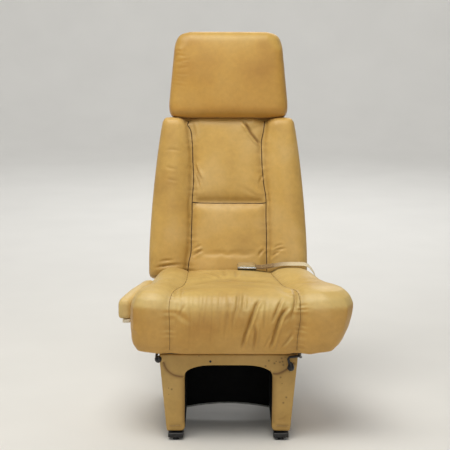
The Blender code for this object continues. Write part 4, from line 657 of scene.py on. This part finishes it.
# Depth, width, fade, lean, then points. Slack leather on the front roll falls in folds to the lower
# left, sharpest beside the right seam.
SEAT_FOLDS = [
    (0.0046, 0.0036, 0.14, 0.6, [
        (0.062, -0.282, 0.395), (0.050, -0.297, 0.379), (0.043, -0.305, 0.358), (0.032, -0.306, 0.326),
        (0.021, -0.306, 0.293), (0.014, -0.305, 0.258),
    ]),
    (0.0042, 0.0032, 0.35, 0.3, [
        (0.045, -0.307, 0.332), (0.049, -0.306, 0.308), (0.047, -0.306, 0.284), (0.044, -0.305, 0.256),
    ]),
    (0.0016, 0.0030, 0.35, 0.0, [
        (0.079, -0.280, 0.396), (0.075, -0.301, 0.372), (0.073, -0.306, 0.346), (0.072, -0.307, 0.314),
    ]),
    (0.0036, 0.0034, 0.35, 0.6, [
        (0.121, -0.276, 0.399), (0.111, -0.295, 0.382), (0.102, -0.305, 0.361), (0.092, -0.307, 0.332),
    ]),
    (0.0048, 0.0038, 0.14, 0.6, [
        (0.135, -0.299, 0.376), (0.120, -0.305, 0.358), (0.111, -0.306, 0.341), (0.102, -0.307, 0.314),
        (0.094, -0.306, 0.284), (0.086, -0.305, 0.258),
    ]),
    (0.0046, 0.0036, 0.35, 0.7, [
        (0.148, -0.210, 0.405), (0.154, -0.270, 0.402), (0.153, -0.290, 0.384), (0.148, -0.303, 0.363),
        (0.141, -0.306, 0.338),
    ]),
    (0.0022, 0.0034, 0.35, 0.4, [
        (0.151, -0.303, 0.313), (0.141, -0.305, 0.296), (0.127, -0.306, 0.278), (0.110, -0.305, 0.260),
    ]),
    (0.0016, 0.0032, 0.35, 0.4, [(0.092, -0.306, 0.308), (0.078, -0.306, 0.278), (0.070, -0.305, 0.260)]),
    (0.0022, 0.0034, 0.35, 0.0, [
        (-0.020, -0.267, 0.401), (-0.019, -0.298, 0.377), (-0.022, -0.306, 0.349), (-0.025, -0.306, 0.308),
    ]),
    (0.0026, 0.0034, 0.35, 0.3, [
        (0.006, -0.242, 0.404), (0.003, -0.292, 0.387), (-0.001, -0.303, 0.366), (-0.007, -0.307, 0.332),
    ]),
    (0.0012, 0.0030, 0.40, 0.0, [(0.018, -0.260, 0.403), (0.017, -0.294, 0.385), (0.015, -0.305, 0.361)]),
    (0.0012, 0.0030, 0.40, 0.0, [(0.032, -0.267, 0.401), (0.029, -0.295, 0.382), (0.023, -0.305, 0.355)]),
    (0.0018, 0.0030, 0.35, -0.3, [
        (-0.155, -0.202, 0.403), (-0.159, -0.256, 0.401), (-0.160, -0.287, 0.388),
    ]),
    (0.0016, 0.0030, 0.35, -0.3, [
        (-0.141, -0.185, 0.396), (-0.144, -0.267, 0.401), (-0.152, -0.285, 0.391),
    ]),
    (0.0012, 0.0030, 0.35, 0.0, [
        (-0.132, -0.294, 0.384), (-0.140, -0.302, 0.369), (-0.149, -0.306, 0.349),
    ]),
    # The middle panel dips across its top behind the roll, and is slack behind that
    (0.0032, 0.0150, 0.20, 0.0, [
        (-0.133, -0.130, 0.389), (-0.103, -0.108, 0.391), (-0.070, -0.086, 0.390), (-0.025, -0.075, 0.391),
        (0.036, -0.083, 0.390), (0.097, -0.085, 0.388), (0.128, -0.120, 0.393),
    ]),
    (0.0012, 0.0036, 0.20, 0.0, [
        (-0.133, -0.144, 0.389), (-0.103, -0.112, 0.391), (-0.070, -0.088, 0.390), (-0.025, -0.077, 0.391),
        (0.036, -0.088, 0.390), (0.097, -0.090, 0.388), (0.134, -0.140, 0.395),
    ]),
    (0.0034, 0.0060, 0.35, 0.0, [
        (-0.087, 0.017, 0.394), (-0.065, -0.016, 0.394), (-0.043, -0.050, 0.392), (-0.032, -0.068, 0.391),
    ]),
    (0.0028, 0.0050, 0.35, 0.5, [(-0.034, 0.044, 0.394), (-0.029, -0.022, 0.393), (-0.032, -0.068, 0.391)]),
    (0.0024, 0.0050, 0.35, 0.0, [(0.001, 0.045, 0.394), (0.003, -0.021, 0.393), (0.000, -0.071, 0.391)]),
]
# Broad hollows that the sharpest folds lie in
SEAT_HOLLOWS = [
    (0.0026, 0.0100, 0.30, 0.8, [
        (0.058, -0.285, 0.390), (0.041, -0.305, 0.352), (0.027, -0.306, 0.310), (0.012, -0.305, 0.262),
    ]),
    (0.0026, 0.0100, 0.30, 0.8, [
        (0.130, -0.285, 0.392), (0.112, -0.306, 0.345), (0.098, -0.306, 0.300), (0.084, -0.305, 0.262),
    ]),
    (0.0020, 0.0090, 0.30, 0.5, [
        (0.152, -0.240, 0.404), (0.154, -0.290, 0.384), (0.144, -0.306, 0.345), (0.130, -0.306, 0.300),
    ]),
]


def stretch_lines():
    """Fine lines that stretch leather down the front roll, at odd places and lengths."""
    chance = np.random.default_rng(7)
    rows = []
    for k in range(17):
        x = -0.158 + 0.0125 * k + chance.uniform(-0.004, 0.004)
        drop = chance.uniform(0.05, 0.13)
        slant = chance.uniform(-0.014, 0.002)
        top = chance.uniform(-0.265, -0.235)
        points = [(x, top, 0.404), (x + 0.3 * slant, -0.298, 0.378), (x + slant, -0.306, 0.385 - drop)]
        rows.append((chance.uniform(0.0005, 0.0011), 0.0026, 0.4, 0.0, points))
    return rows


def over_pan(points):
    """1 on the underside of the seat cushion, which lies flat on its pan, and 0 above it."""
    return np.clip((PAN_TOP + 0.010 - points[:, 2]) / 0.006, 0.0, 1.0)


def seat_cushion():
    """Seat cushion in three panels that run over its front roll, gathered along both seams."""
    obj, lines = upholstered(
        "seat_cushion", "seat_cushion_cover", CUSHION_HIDE, [(SEAT_LEFT, 0.005), (SEAT_RIGHT, 0.006)],
        voxel=0.0046, rounded=SEAT_CORNERS, flat=over_pan,
    )
    seam = dict(depth=0.0030, width=0.0036, swell=0.0010)
    folds = [
        (lines[0], 0.40, dict(seam, depth=0.0024, pucker=0.0008, pitch=0.021)),
        (lines[1], 0.70, dict(seam, depth=0.0036, pucker=0.0010, pitch=0.018)),
    ]
    folds += folds_on(obj, SEAT_FOLDS + stretch_lines(), 0.30) + folds_on(obj, SEAT_HOLLOWS, 0.04)
    settle(folded(obj, folds), "seat_cushion", "base")
    seam_threads(obj, lines, "seat_cushion_seam", "base", SEAT_THREAD_AND_SHADE, -0.0002, 0.0007)


# The back cushion's seams, from the top down and across, and its creases
BACK_LEFT = [
    (-0.134, 0.190, 0.818), (-0.133, 0.183, 0.809), (-0.132, 0.173, 0.799), (-0.128, 0.170, 0.776),
    (-0.124, 0.165, 0.730), (-0.121, 0.162, 0.684), (-0.122, 0.154, 0.633), (-0.123, 0.141, 0.583),
    (-0.125, 0.132, 0.537), (-0.126, 0.119, 0.481), (-0.128, 0.107, 0.437), (-0.134, 0.091, 0.405),
    (-0.137, 0.085, 0.355),
]
BACK_RIGHT = [
    (0.083, 0.195, 0.818), (0.083, 0.190, 0.808), (0.081, 0.177, 0.776), (0.077, 0.173, 0.735),
    (0.078, 0.166, 0.690), (0.082, 0.152, 0.640), (0.086, 0.139, 0.595), (0.088, 0.130, 0.550),
    (0.090, 0.117, 0.494), (0.092, 0.106, 0.449), (0.091, 0.097, 0.410), (0.091, 0.085, 0.355),
]
BACK_CROSS = [
    (-0.1225, 0.139, 0.570), (-0.101, 0.143, 0.571), (-0.073, 0.144, 0.571), (-0.015, 0.143, 0.571),
    (0.043, 0.143, 0.571), (0.087, 0.137, 0.571),
]
BACK_FOLDS = [
    (0.0050, 0.0034, 0.16, -0.6, [
        (0.022, 0.184, 0.799), (0.030, 0.181, 0.792), (0.040, 0.177, 0.777), (0.050, 0.174, 0.762),
        (0.062, 0.173, 0.748), (0.075, 0.174, 0.735),
    ]),
    (0.0020, 0.0034, 0.35, -0.3, [(0.021, 0.190, 0.806), (0.031, 0.180, 0.789), (0.044, 0.176, 0.773)]),
    (0.0022, 0.0034, 0.35, 0.4, [
        (-0.131, 0.185, 0.805), (-0.123, 0.171, 0.787), (-0.118, 0.170, 0.764), (-0.117, 0.167, 0.742),
    ]),
    (0.0036, 0.0032, 0.35, 0.5, [
        (-0.119, 0.163, 0.683), (-0.113, 0.157, 0.662), (-0.104, 0.148, 0.640), (-0.097, 0.144, 0.622),
    ]),
    (0.0030, 0.0032, 0.35, 0.5, [
        (-0.120, 0.160, 0.667), (-0.114, 0.153, 0.645), (-0.107, 0.145, 0.624), (-0.103, 0.142, 0.606),
    ]),
    (0.0018, 0.0032, 0.35, 0.3, [(-0.107, 0.154, 0.662), (-0.101, 0.149, 0.645), (-0.094, 0.146, 0.629)]),
    (0.0020, 0.0034, 0.35, 0.0, [(0.088, 0.109, 0.443), (0.075, 0.104, 0.431), (0.066, 0.098, 0.418)]),
    (0.0016, 0.0032, 0.35, 0.0, [(0.084, 0.170, 0.660), (0.078, 0.150, 0.640), (0.070, 0.145, 0.620)]),
    (0.0030, 0.0036, 0.35, 0.0, [(0.097, 0.091, 0.416), (0.113, 0.090, 0.430), (0.131, 0.090, 0.438)]),
    (0.0022, 0.0034, 0.35, 0.0, [(0.099, 0.092, 0.426), (0.117, 0.092, 0.440), (0.149, 0.092, 0.446)]),
    (0.0014, 0.0034, 0.35, 0.0, [(0.100, 0.094, 0.440), (0.123, 0.094, 0.452), (0.143, 0.094, 0.456)]),
    (0.0026, 0.0036, 0.35, 0.0, [(-0.123, 0.103, 0.417), (-0.107, 0.102, 0.431), (-0.089, 0.104, 0.437)]),
    (0.0018, 0.0034, 0.35, 0.0, [(-0.123, 0.109, 0.436), (-0.110, 0.106, 0.446), (-0.095, 0.107, 0.451)]),
    (0.0022, 0.0036, 0.35, 0.0, [
        (-0.238, 0.083, 0.388), (-0.209, 0.080, 0.394), (-0.181, 0.081, 0.398), (-0.144, 0.083, 0.400),
    ]),
    (0.0014, 0.0034, 0.35, 0.0, [(-0.221, 0.083, 0.407), (-0.198, 0.084, 0.411), (-0.175, 0.084, 0.411)]),
    (0.0009, 0.0036, 0.40, 0.0, [(-0.204, 0.140, 0.676), (-0.187, 0.139, 0.670), (-0.164, 0.139, 0.664)]),
    (0.0009, 0.0036, 0.40, 0.0, [(-0.201, 0.133, 0.642), (-0.181, 0.132, 0.636), (-0.158, 0.134, 0.633)]),
    (0.0009, 0.0036, 0.40, 0.0, [(-0.200, 0.150, 0.720), (-0.181, 0.150, 0.722), (-0.150, 0.152, 0.716)]),
]


def behind_back(points):
    """1 on the flat rear of the back cushion, where it is glued to its shell, and 0 ahead of it."""
    along = (points[:, 1] - HINGE.y) * math.cos(LEAN) - (points[:, 2] - HINGE.z) * math.sin(LEAN)
    return np.clip((along + 0.030) / 0.006, 0.0, 1.0)


def back_cushion():
    """Back cushion: two side bolsters and a middle panel with one seam across it."""
    obj, lines = upholstered(
        "back_cushion", "back_cushion_cover", BACK_HIDE,
        [(BACK_LEFT, 0.010), (BACK_RIGHT, 0.010), (BACK_CROSS, 0.008)], cap=0.012, flat=behind_back,
    )
    seam = dict(depth=0.0050, width=0.0042, swell=0.0006)
    folds = [
        (lines[0], 1.0, dict(seam, pucker=0.0007, pitch=0.027)),
        (lines[1], 1.0, dict(seam, pucker=0.0007, pitch=0.029)),
        (lines[2], 0.9, dict(seam, depth=0.0042, pucker=0.0004, pitch=0.033)),
    ]
    folds += folds_on(obj, BACK_FOLDS[:1], 0.60) + folds_on(obj, BACK_FOLDS[1:], 0.35)
    settle(folded(obj, folds), "back_cushion", "seat_back")
    seam_threads(obj, lines, "back_cushion_seam", "seat_back", BACK_THREAD_AND_SHADE, 0.0, 0.0013)


# The headrest's upper corners, each from front to rear, and where its creases start
HEAD_CORNERS = [([(x, 0.180, 1.038), (x, 0.330, 1.062)], 0.038) for x in (-0.168, 0.130)]
HEAD_CREASE_EDGE = (-0.182, 0.206, 1.000)
HEAD_CREASES = 9
HEAD_CREASE_GAP = 0.013


def crowned(obj, height):
    """Swells the front of a pad toward its middle."""
    points, outward = coords(obj.data), normals(obj.data)
    low, high = points.min(0), points.max(0)
    across = 2.0 * (points - low) / (high - low) - 1.0
    wide, tall = (np.clip(1.0 - across[:, k] ** 2, 0.0, 1.0) ** 0.8 for k in (0, 2))
    points[:, 1] -= height * wide * tall * np.clip(-outward[:, 1], 0.0, 1.0)
    set_coords(obj.data, points)


def headrest():
    """Headrest pad: one taut panel over its front, faintly creased along its left edge."""
    obj, _ = upholstered(
        "headrest_pad", "headrest_cover", HEAD_HIDE, [], pressure=0.0, passes=26, shrink=0.0,
        rounded=HEAD_CORNERS, low_proud=(0.0, 0.0, 0.005),
    )
    crowned(obj, 0.011)
    chance = np.random.default_rng(11)
    edge, face, top = HEAD_CREASE_EDGE
    rows = []
    for k in range(HEAD_CREASES):
        x = edge + chance.uniform(-0.002, 0.006)
        z = top - HEAD_CREASE_GAP * k + chance.uniform(-0.005, 0.005)
        start = Vector((x, face, z))
        middle = start + Vector((0.018, 0.002, chance.uniform(-0.004, 0.004)))
        end = start + Vector((chance.uniform(0.028, 0.062), 0.003, chance.uniform(-0.009, 0.006)))
        rows.append((chance.uniform(0.0002, 0.0005), 0.0030, 0.4, 0.0, [start, middle, end]))
    settle(folded(obj, folds_on(obj, rows, 0.4)), "headrest_pad", "headrest")


def armrest():
    """Armrest pad: a firm foam bar in one hide."""
    obj, _ = upholstered(
        "armrest_pad", "armrest_cover", ARM_HIDE, [], voxel=0.004, shrink=0.0, pressure=0.0, passes=5,
        low_proud=(0.005, 0.0, 0.0),
    )
    settle(folded(obj, []), "armrest_pad", "armrest")


# Pedestal details: seams and hems in X and Z on its front face, and the snap that holds the apron
APRON_LEFT = [
    (-0.1925, 0.2160), (-0.1908, 0.2120), (-0.1844, 0.1965), (-0.1728, 0.1843), (-0.1582, 0.1772),
    (-0.1360, 0.1732),
]
APRON_RIGHT = [
    (0.0935, 0.1830), (0.1084, 0.1834), (0.1229, 0.1889), (0.1360, 0.1975), (0.1461, 0.2072),
    (0.1530, 0.2150),
]
HEM_LEFT = [(-0.1775, 0.0375), (-0.1600, 0.0385), (-0.1460, 0.0390)]
HEM_RIGHT = [(0.1060, 0.0390), (0.1200, 0.0385), (0.1400, 0.0375)]
SNAP_X, SNAP_Z, SNAP_RADIUS = -0.0678, 0.2165, 0.0030


def wrapped(node, voxel, passes):
    """Leather drawn tight over a panel: its edges turn softly, and it keeps the panel's size."""
    obj = solid_copy(node, node + "_leather", COVER_HIDE)
    remeshed(obj, voxel, passes)
    set_coords(obj.data, drawn_out(coords(obj.data), node, 0.0))
    smooth(obj)
    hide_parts(node)
    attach(obj, "base")
    return obj


def pedestal():
    """Front cover, its apron sewn to the legs along two curved seams, its hems, and the side covers."""
    front = wrapped("front_shroud", 0.0025, 12)
    skin = surface(front.data)
    lines = [snapped([(x, FACE_Y, z) for x, z in line], skin) for line in (APRON_LEFT, APRON_RIGHT)]
    hems = [snapped([(x, FACE_Y, z) for x, z in line], skin) for line in (HEM_LEFT, HEM_RIGHT)]
    seam = dict(depth=0.0016, width=0.0024, fade=0.03, swell=0.0004)
    folds = [(line, 0.8, seam) for line in lines]
    folds += [(line, 0.35, dict(depth=0.0008, width=0.0022, fade=0.1, swell=0.0003)) for line in hems]
    rows = [
        (0.0012, 0.0030, 0.3, 0.0, [
            (0.104, FACE_Y, 0.058), (0.120, FACE_Y, 0.058), (0.132, FACE_Y, 0.063), (0.140, FACE_Y, 0.066),
        ]),
        (0.0009, 0.0030, 0.3, 0.0, [
            (0.108, FACE_Y, 0.050), (0.124, FACE_Y, 0.053), (0.138, FACE_Y, 0.054),
        ]),
        # Painted shade, with some soil, browns the leather where it turns in around the opening
        (0.0022, 0.0070, 0.05, 0.0, [
            (-0.1375, FACE_Y, 0.176), (-0.1365, FACE_Y, 0.110), (-0.1330, FACE_Y, 0.040),
        ]),
        (0.0022, 0.0070, 0.05, 0.0, [
            (0.0955, FACE_Y, 0.180), (0.0965, FACE_Y, 0.110), (0.0985, FACE_Y, 0.040),
        ]),
    ]
    folded(front, folds + folds_on(front, rows, 0.60))
    seam_threads(front, lines, "apron_seam", "base", SEAT_THREAD_AND_SHADE, 0.0001, 0.0004)
    for k, line in enumerate(hems):
        dashes(f"hem_stitches_{k}", line, 0.0060, 0.7, 0.0005, PALE_THREAD, "base")
    for hand in ("left", "right"):
        folded(wrapped(f"side_shroud_{hand}", 0.003, 3), [])
    snap = [(SNAP_X, FACE_Y + 0.0004, SNAP_Z), (SNAP_X, FACE_Y - 0.0010, SNAP_Z)]
    tube("apron_snap", snap, SNAP_RADIUS, BLACK_STEEL, "base", 20)


# Lap belt: its middle line in X and Z, its thickness, and the box of stitches behind the buckle, as
# X and the height there
BELT_Y = 0.0495
BELT_HALF = 0.022
BELT_THICKNESS = 0.0018
BOX_NEAR, BOX_NEAR_Z = 0.0750, 0.4026
BOX_FAR, BOX_FAR_Z = 0.1020, 0.4060
BOX_HALF = 0.017
BELT_LINE = [
    (0.0600, 0.3995), (0.0723, 0.3995), (0.0846, 0.4001), (0.0968, 0.4019), (0.1091, 0.4044),
    (0.1214, 0.4070), (0.1337, 0.4089), (0.1460, 0.4095), (0.1705, 0.4095), (0.1828, 0.4095),
    (0.1951, 0.4088), (0.2074, 0.4038), (0.2196, 0.3906), (0.2272, 0.3740), (0.2296, 0.3550),
    (0.2296, 0.3000), (0.2296, 0.2680),
]


def strap(name, line, half_width, thickness, lift):
    """Woven strap swept along a line in X and Z, with rounded selvedges, a little thicker in its
    middle and raised by a lift."""
    path = curve_through([(x, BELT_Y, z) for x, z in line], 8)
    profile = [
        (-1.0, -0.2), (-1.0, 0.2), (-0.96, 0.5), (-0.5, 0.62), (0.0, 0.66), (0.5, 0.62), (0.96, 0.5),
        (1.0, 0.2), (1.0, -0.2), (0.96, -0.5), (0.5, -0.5), (0.0, -0.5), (-0.5, -0.5), (-0.96, -0.5),
    ]
    bm = bmesh.new()
    rings = []
    for k, point in enumerate(path):
        ahead = (path[min(k + 1, len(path) - 1)] - path[max(k - 1, 0)]).normalized()
        up = Vector((-ahead.z, 0.0, ahead.x))
        across = [point + Vector((0.0, a * half_width, 0.0)) for a, _ in profile]
        raised = [up * (b * thickness + lift) for _, b in profile]
        rings.append([bm.verts.new(spot + rise) for spot, rise in zip(across, raised)])
    for low, high in zip(rings, rings[1:]):
        for j in range(len(profile)):
            n = (j + 1) % len(profile)
            bm.faces.new((low[n], low[j], high[j], high[n])).smooth = True
    bm.faces.new(rings[0])
    bm.faces.new(rings[-1][::-1])
    bmesh.ops.recalc_face_normals(bm, faces=bm.faces[:])
    mesh = bpy.data.meshes.new(name)
    bm.to_mesh(mesh)
    bm.free()
    obj = new_object(name, mesh, WEBBING)
    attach(obj, "base")
    return obj, path


def belt():
    """Right half of the lap belt: webbing doubled back at the buckle and stitched in a crossed box."""
    obj, path = strap("belt_strap", BELT_LINE, BELT_HALF, BELT_THICKNESS, 0.0)
    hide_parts("belt_webbing")
    doubled, _ = strap("belt_strap_fold", BELT_LINE[:5], BELT_HALF - 0.0008, 0.0016, BELT_THICKNESS)
    low, high = BELT_Y - BOX_HALF, BELT_Y + BOX_HALF
    corners = [Vector((BOX_NEAR, low, BOX_NEAR_Z)), Vector((BOX_FAR, low, BOX_FAR_Z)),
               Vector((BOX_FAR, high, BOX_FAR_Z)), Vector((BOX_NEAR, high, BOX_NEAR_Z))]
    for k, (a, b) in enumerate(((0, 1), (1, 2), (2, 3), (3, 0), (0, 2), (1, 3))):
        row = [corners[a].lerp(corners[b], t / 6.0) for t in range(7)]
        dashes(f"belt_stitches_{k}", row, 0.0035, 0.7, 0.0004, PALE_THREAD, "base")


# Finish of each material slot, the front of the baffle's sheet behind its rolled edge, and the height below
# which the buckle is painted black as its shade
FINISH = {
    "black_steel": BLACK_STEEL, "frame_alloy": ALLOY, "zinc_steel": ZINC, "chrome": CHROME,
    "black_plastic": BLACK_PLASTIC, "cream_plastic": CREAM_PLASTIC, "dark_sheet": BLACK_LINER_AND_PAINTED_SHADE,
    "webbing": WEBBING, "covered_panel": COVER_HIDE, "leather": BACK_HIDE,
}
BAFFLE_FACE_Y = -0.0748
BUCKLE_SHADE_Z = 0.4005


def baffle_sheet():
    """Black haircell sheet, near-black also as painted shade in the cavity, whose rolled lower edge,
    standing ahead of it, is a pale rubber trim.
    """
    made = BLACK_LINER_AND_PAINTED_SHADE.copy()
    made.name = "baffle_abs_black_painted_shade_grey_edge"
    tree = made.node_tree
    shader = tree.nodes["Principled BSDF"]
    place = add(tree, "ShaderNodeTexCoord").outputs["Object"]
    depth = add(tree, "ShaderNodeSeparateXYZ", {0: place}).outputs["Y"]
    ahead = maths(tree, "LESS_THAN", depth, BAFFLE_FACE_Y)
    worn = noise(tree, place, 70.0, 4.0)
    grey = ramp(tree, worn, [(0.3, linear("#6F706D")), (0.7, linear("#969792"))])
    black = shader.inputs["Base Color"].links[0].from_socket
    tree.links.new(mixed(tree, ahead, black, grey), shader.inputs["Base Color"])
    return made


def buckle_steel():
    """Brushed nickel-plated buckle, painted black and not metallic below a height as the shade on its
    underside.
    """
    made = metal("buckle_nickel_brushed_and_painted_underside_shade", "#D5D6D6", "#A9ABAC", 0.26, (1.0, 0.08, 1.0))
    tree = made.node_tree
    shader = tree.nodes["Principled BSDF"]
    place = add(tree, "ShaderNodeTexCoord").outputs["Object"]
    height = add(tree, "ShaderNodeSeparateXYZ", {0: place}).outputs["Z"]
    # Painted shade: the buckle is black and not metallic below this height
    upper = maths(tree, "GREATER_THAN", height, BUCKLE_SHADE_Z)
    bare = shader.inputs["Base Color"].links[0].from_socket
    tree.links.new(mixed(tree, upper, linear("#19191B"), bare), shader.inputs["Base Color"])
    tree.links.new(upper, shader.inputs["Metallic"])
    return made


def dress_nodes():
    """Gives each CAD solid the finish that its material slot names, and shades its round faces smooth."""
    for entry in frame["record"]["subparts"]:
        obj = NODES[entry["node"]]
        obj.data.materials.clear()
        obj.data.materials.append(FINISH[entry["material_slot"]])
        smooth(obj)
        weld = obj.modifiers.new("weld", "WELD")
        weld.merge_threshold = 0.00001
        crisp = obj.modifiers.new("crisp", "EDGE_SPLIT")
        crisp.split_angle = math.radians(32.0)
    NODES["inner_baffle"].data.materials[0] = baffle_sheet()
    NODES["buckle_body"].data.materials[0] = buckle_steel()


seat_cushion()
back_cushion()
headrest()
armrest()
pedestal()
belt()
dress_nodes()


# Floor, light and camera
def floor():
    """Plain pale paper floor that sweeps up into a wall all the way round, 7 m off."""
    flat, bend, top = 5.0, 2.0, 8.0
    turns = np.linspace(0.12, math.pi / 2, 14)
    profile = [(0.0, 0.0), (2.0, 0.0), (flat, 0.0)]
    profile += [(flat + bend * math.sin(a), bend - bend * math.cos(a)) for a in turns]
    profile += [(flat + bend, 5.0), (flat + bend, top)]
    bm = bmesh.new()
    points = [bm.verts.new((r, 0.0, z)) for r, z in profile]
    edges = [bm.edges.new(pair) for pair in zip(points, points[1:])]
    bmesh.ops.spin(bm, geom=points + edges, cent=(0, 0, 0), axis=(0, 0, 1), angle=2.0 * math.pi, steps=72)
    bmesh.ops.remove_doubles(bm, verts=bm.verts, dist=1e-5)
    bmesh.ops.recalc_face_normals(bm, faces=bm.faces[:])
    for face in bm.faces:
        face.smooth = True
    mesh = bpy.data.meshes.new("studio_floor")
    bm.to_mesh(mesh)
    bm.free()
    made, tree, shader = blank("studio_paper_pale")
    place = add(tree, "ShaderNodeTexCoord").outputs["Object"]
    fibre = noise(tree, place, 3.0, 2.0)
    paper = ramp(tree, fibre, [(0.2, linear("#DAD9D6")), (0.8, linear("#DFDEDB"))])
    tree.links.new(paper, shader.inputs["Base Color"])
    shader.inputs["Roughness"].default_value = 0.9
    new_object("studio_floor", mesh, made)


def lamp(name, place, aim, size, power, colour="#FFFFFF"):
    """Soft rectangular lamp at a place, turned to what it lights."""
    light = bpy.data.lights.new(name, "AREA")
    light.shape = "RECTANGLE"
    light.size, light.size_y = size
    light.energy = power
    light.color = linear(colour)[:3]
    obj = bpy.data.objects.new(name, light)
    obj.location = place
    obj.rotation_euler = (Vector(aim) - Vector(place)).to_track_quat("-Z", "Y").to_euler()
    obj.visible_camera = False
    SCENE.collection.objects.link(obj)


# The photograph's focal length and width, both in its pixels
FOCAL_PIXELS = 1294.0
PHOTO_PIXELS = 450.0


def camera():
    """The photograph's viewpoint: 3.6 m away, looking 11 degrees down, almost square on."""
    yaw, pitch, roll = (math.radians(v) for v in (0.17, 11.13, 0.14))
    distance, aim = 3.6, Vector((-0.0295, 0.0, 0.5312))
    look = Vector((math.sin(yaw) * math.cos(pitch), math.cos(yaw) * math.cos(pitch), -math.sin(pitch)))
    right = Vector((math.cos(yaw), -math.sin(yaw), 0.0))
    up = right.cross(look)
    tilted_right = math.cos(roll) * right + math.sin(roll) * up
    tilted_up = math.cos(roll) * up - math.sin(roll) * right
    data = bpy.data.cameras.new("view")
    data.sensor_width = 36.0
    data.lens = FOCAL_PIXELS * data.sensor_width / PHOTO_PIXELS
    obj = bpy.data.objects.new("view", data)
    turn = Matrix((tilted_right, tilted_up, -look)).transposed()
    obj.matrix_world = Matrix.Translation(aim - distance * look) @ turn.to_4x4()
    SCENE.collection.objects.link(obj)
    SCENE.camera = obj


def studio():
    """Pale sky light, a soft key from above, fills before and behind, and a wash on the wall."""
    world = bpy.data.worlds.new("studio_world")
    world.use_nodes = True
    sky = world.node_tree.nodes["Background"]
    sky.inputs["Color"].default_value = linear("#FFFFFF")
    sky.inputs["Strength"].default_value = 0.30
    SCENE.world = world
    lamp("key_softbox", (-0.6, -1.0, 3.3), (0.0, -0.05, 0.4), (2.6, 1.6), 92.0, "#FFFBF2")
    lamp("front_fill", (0.8, -4.2, 1.5), (0.0, 0.0, 0.5), (2.2, 1.8), 14.0, "#FAFCFF")
    lamp("rear_fill", (0.6, 3.2, 2.8), (0.0, 0.0, 0.6), (2.4, 1.8), 36.0)
    lamp("wall_wash", (0.0, 2.6, 4.2), (0.0, 7.0, 1.0), (4.0, 1.0), 105.0)
    SCENE.view_settings.view_transform = "Standard"


floor()
camera()
studio()
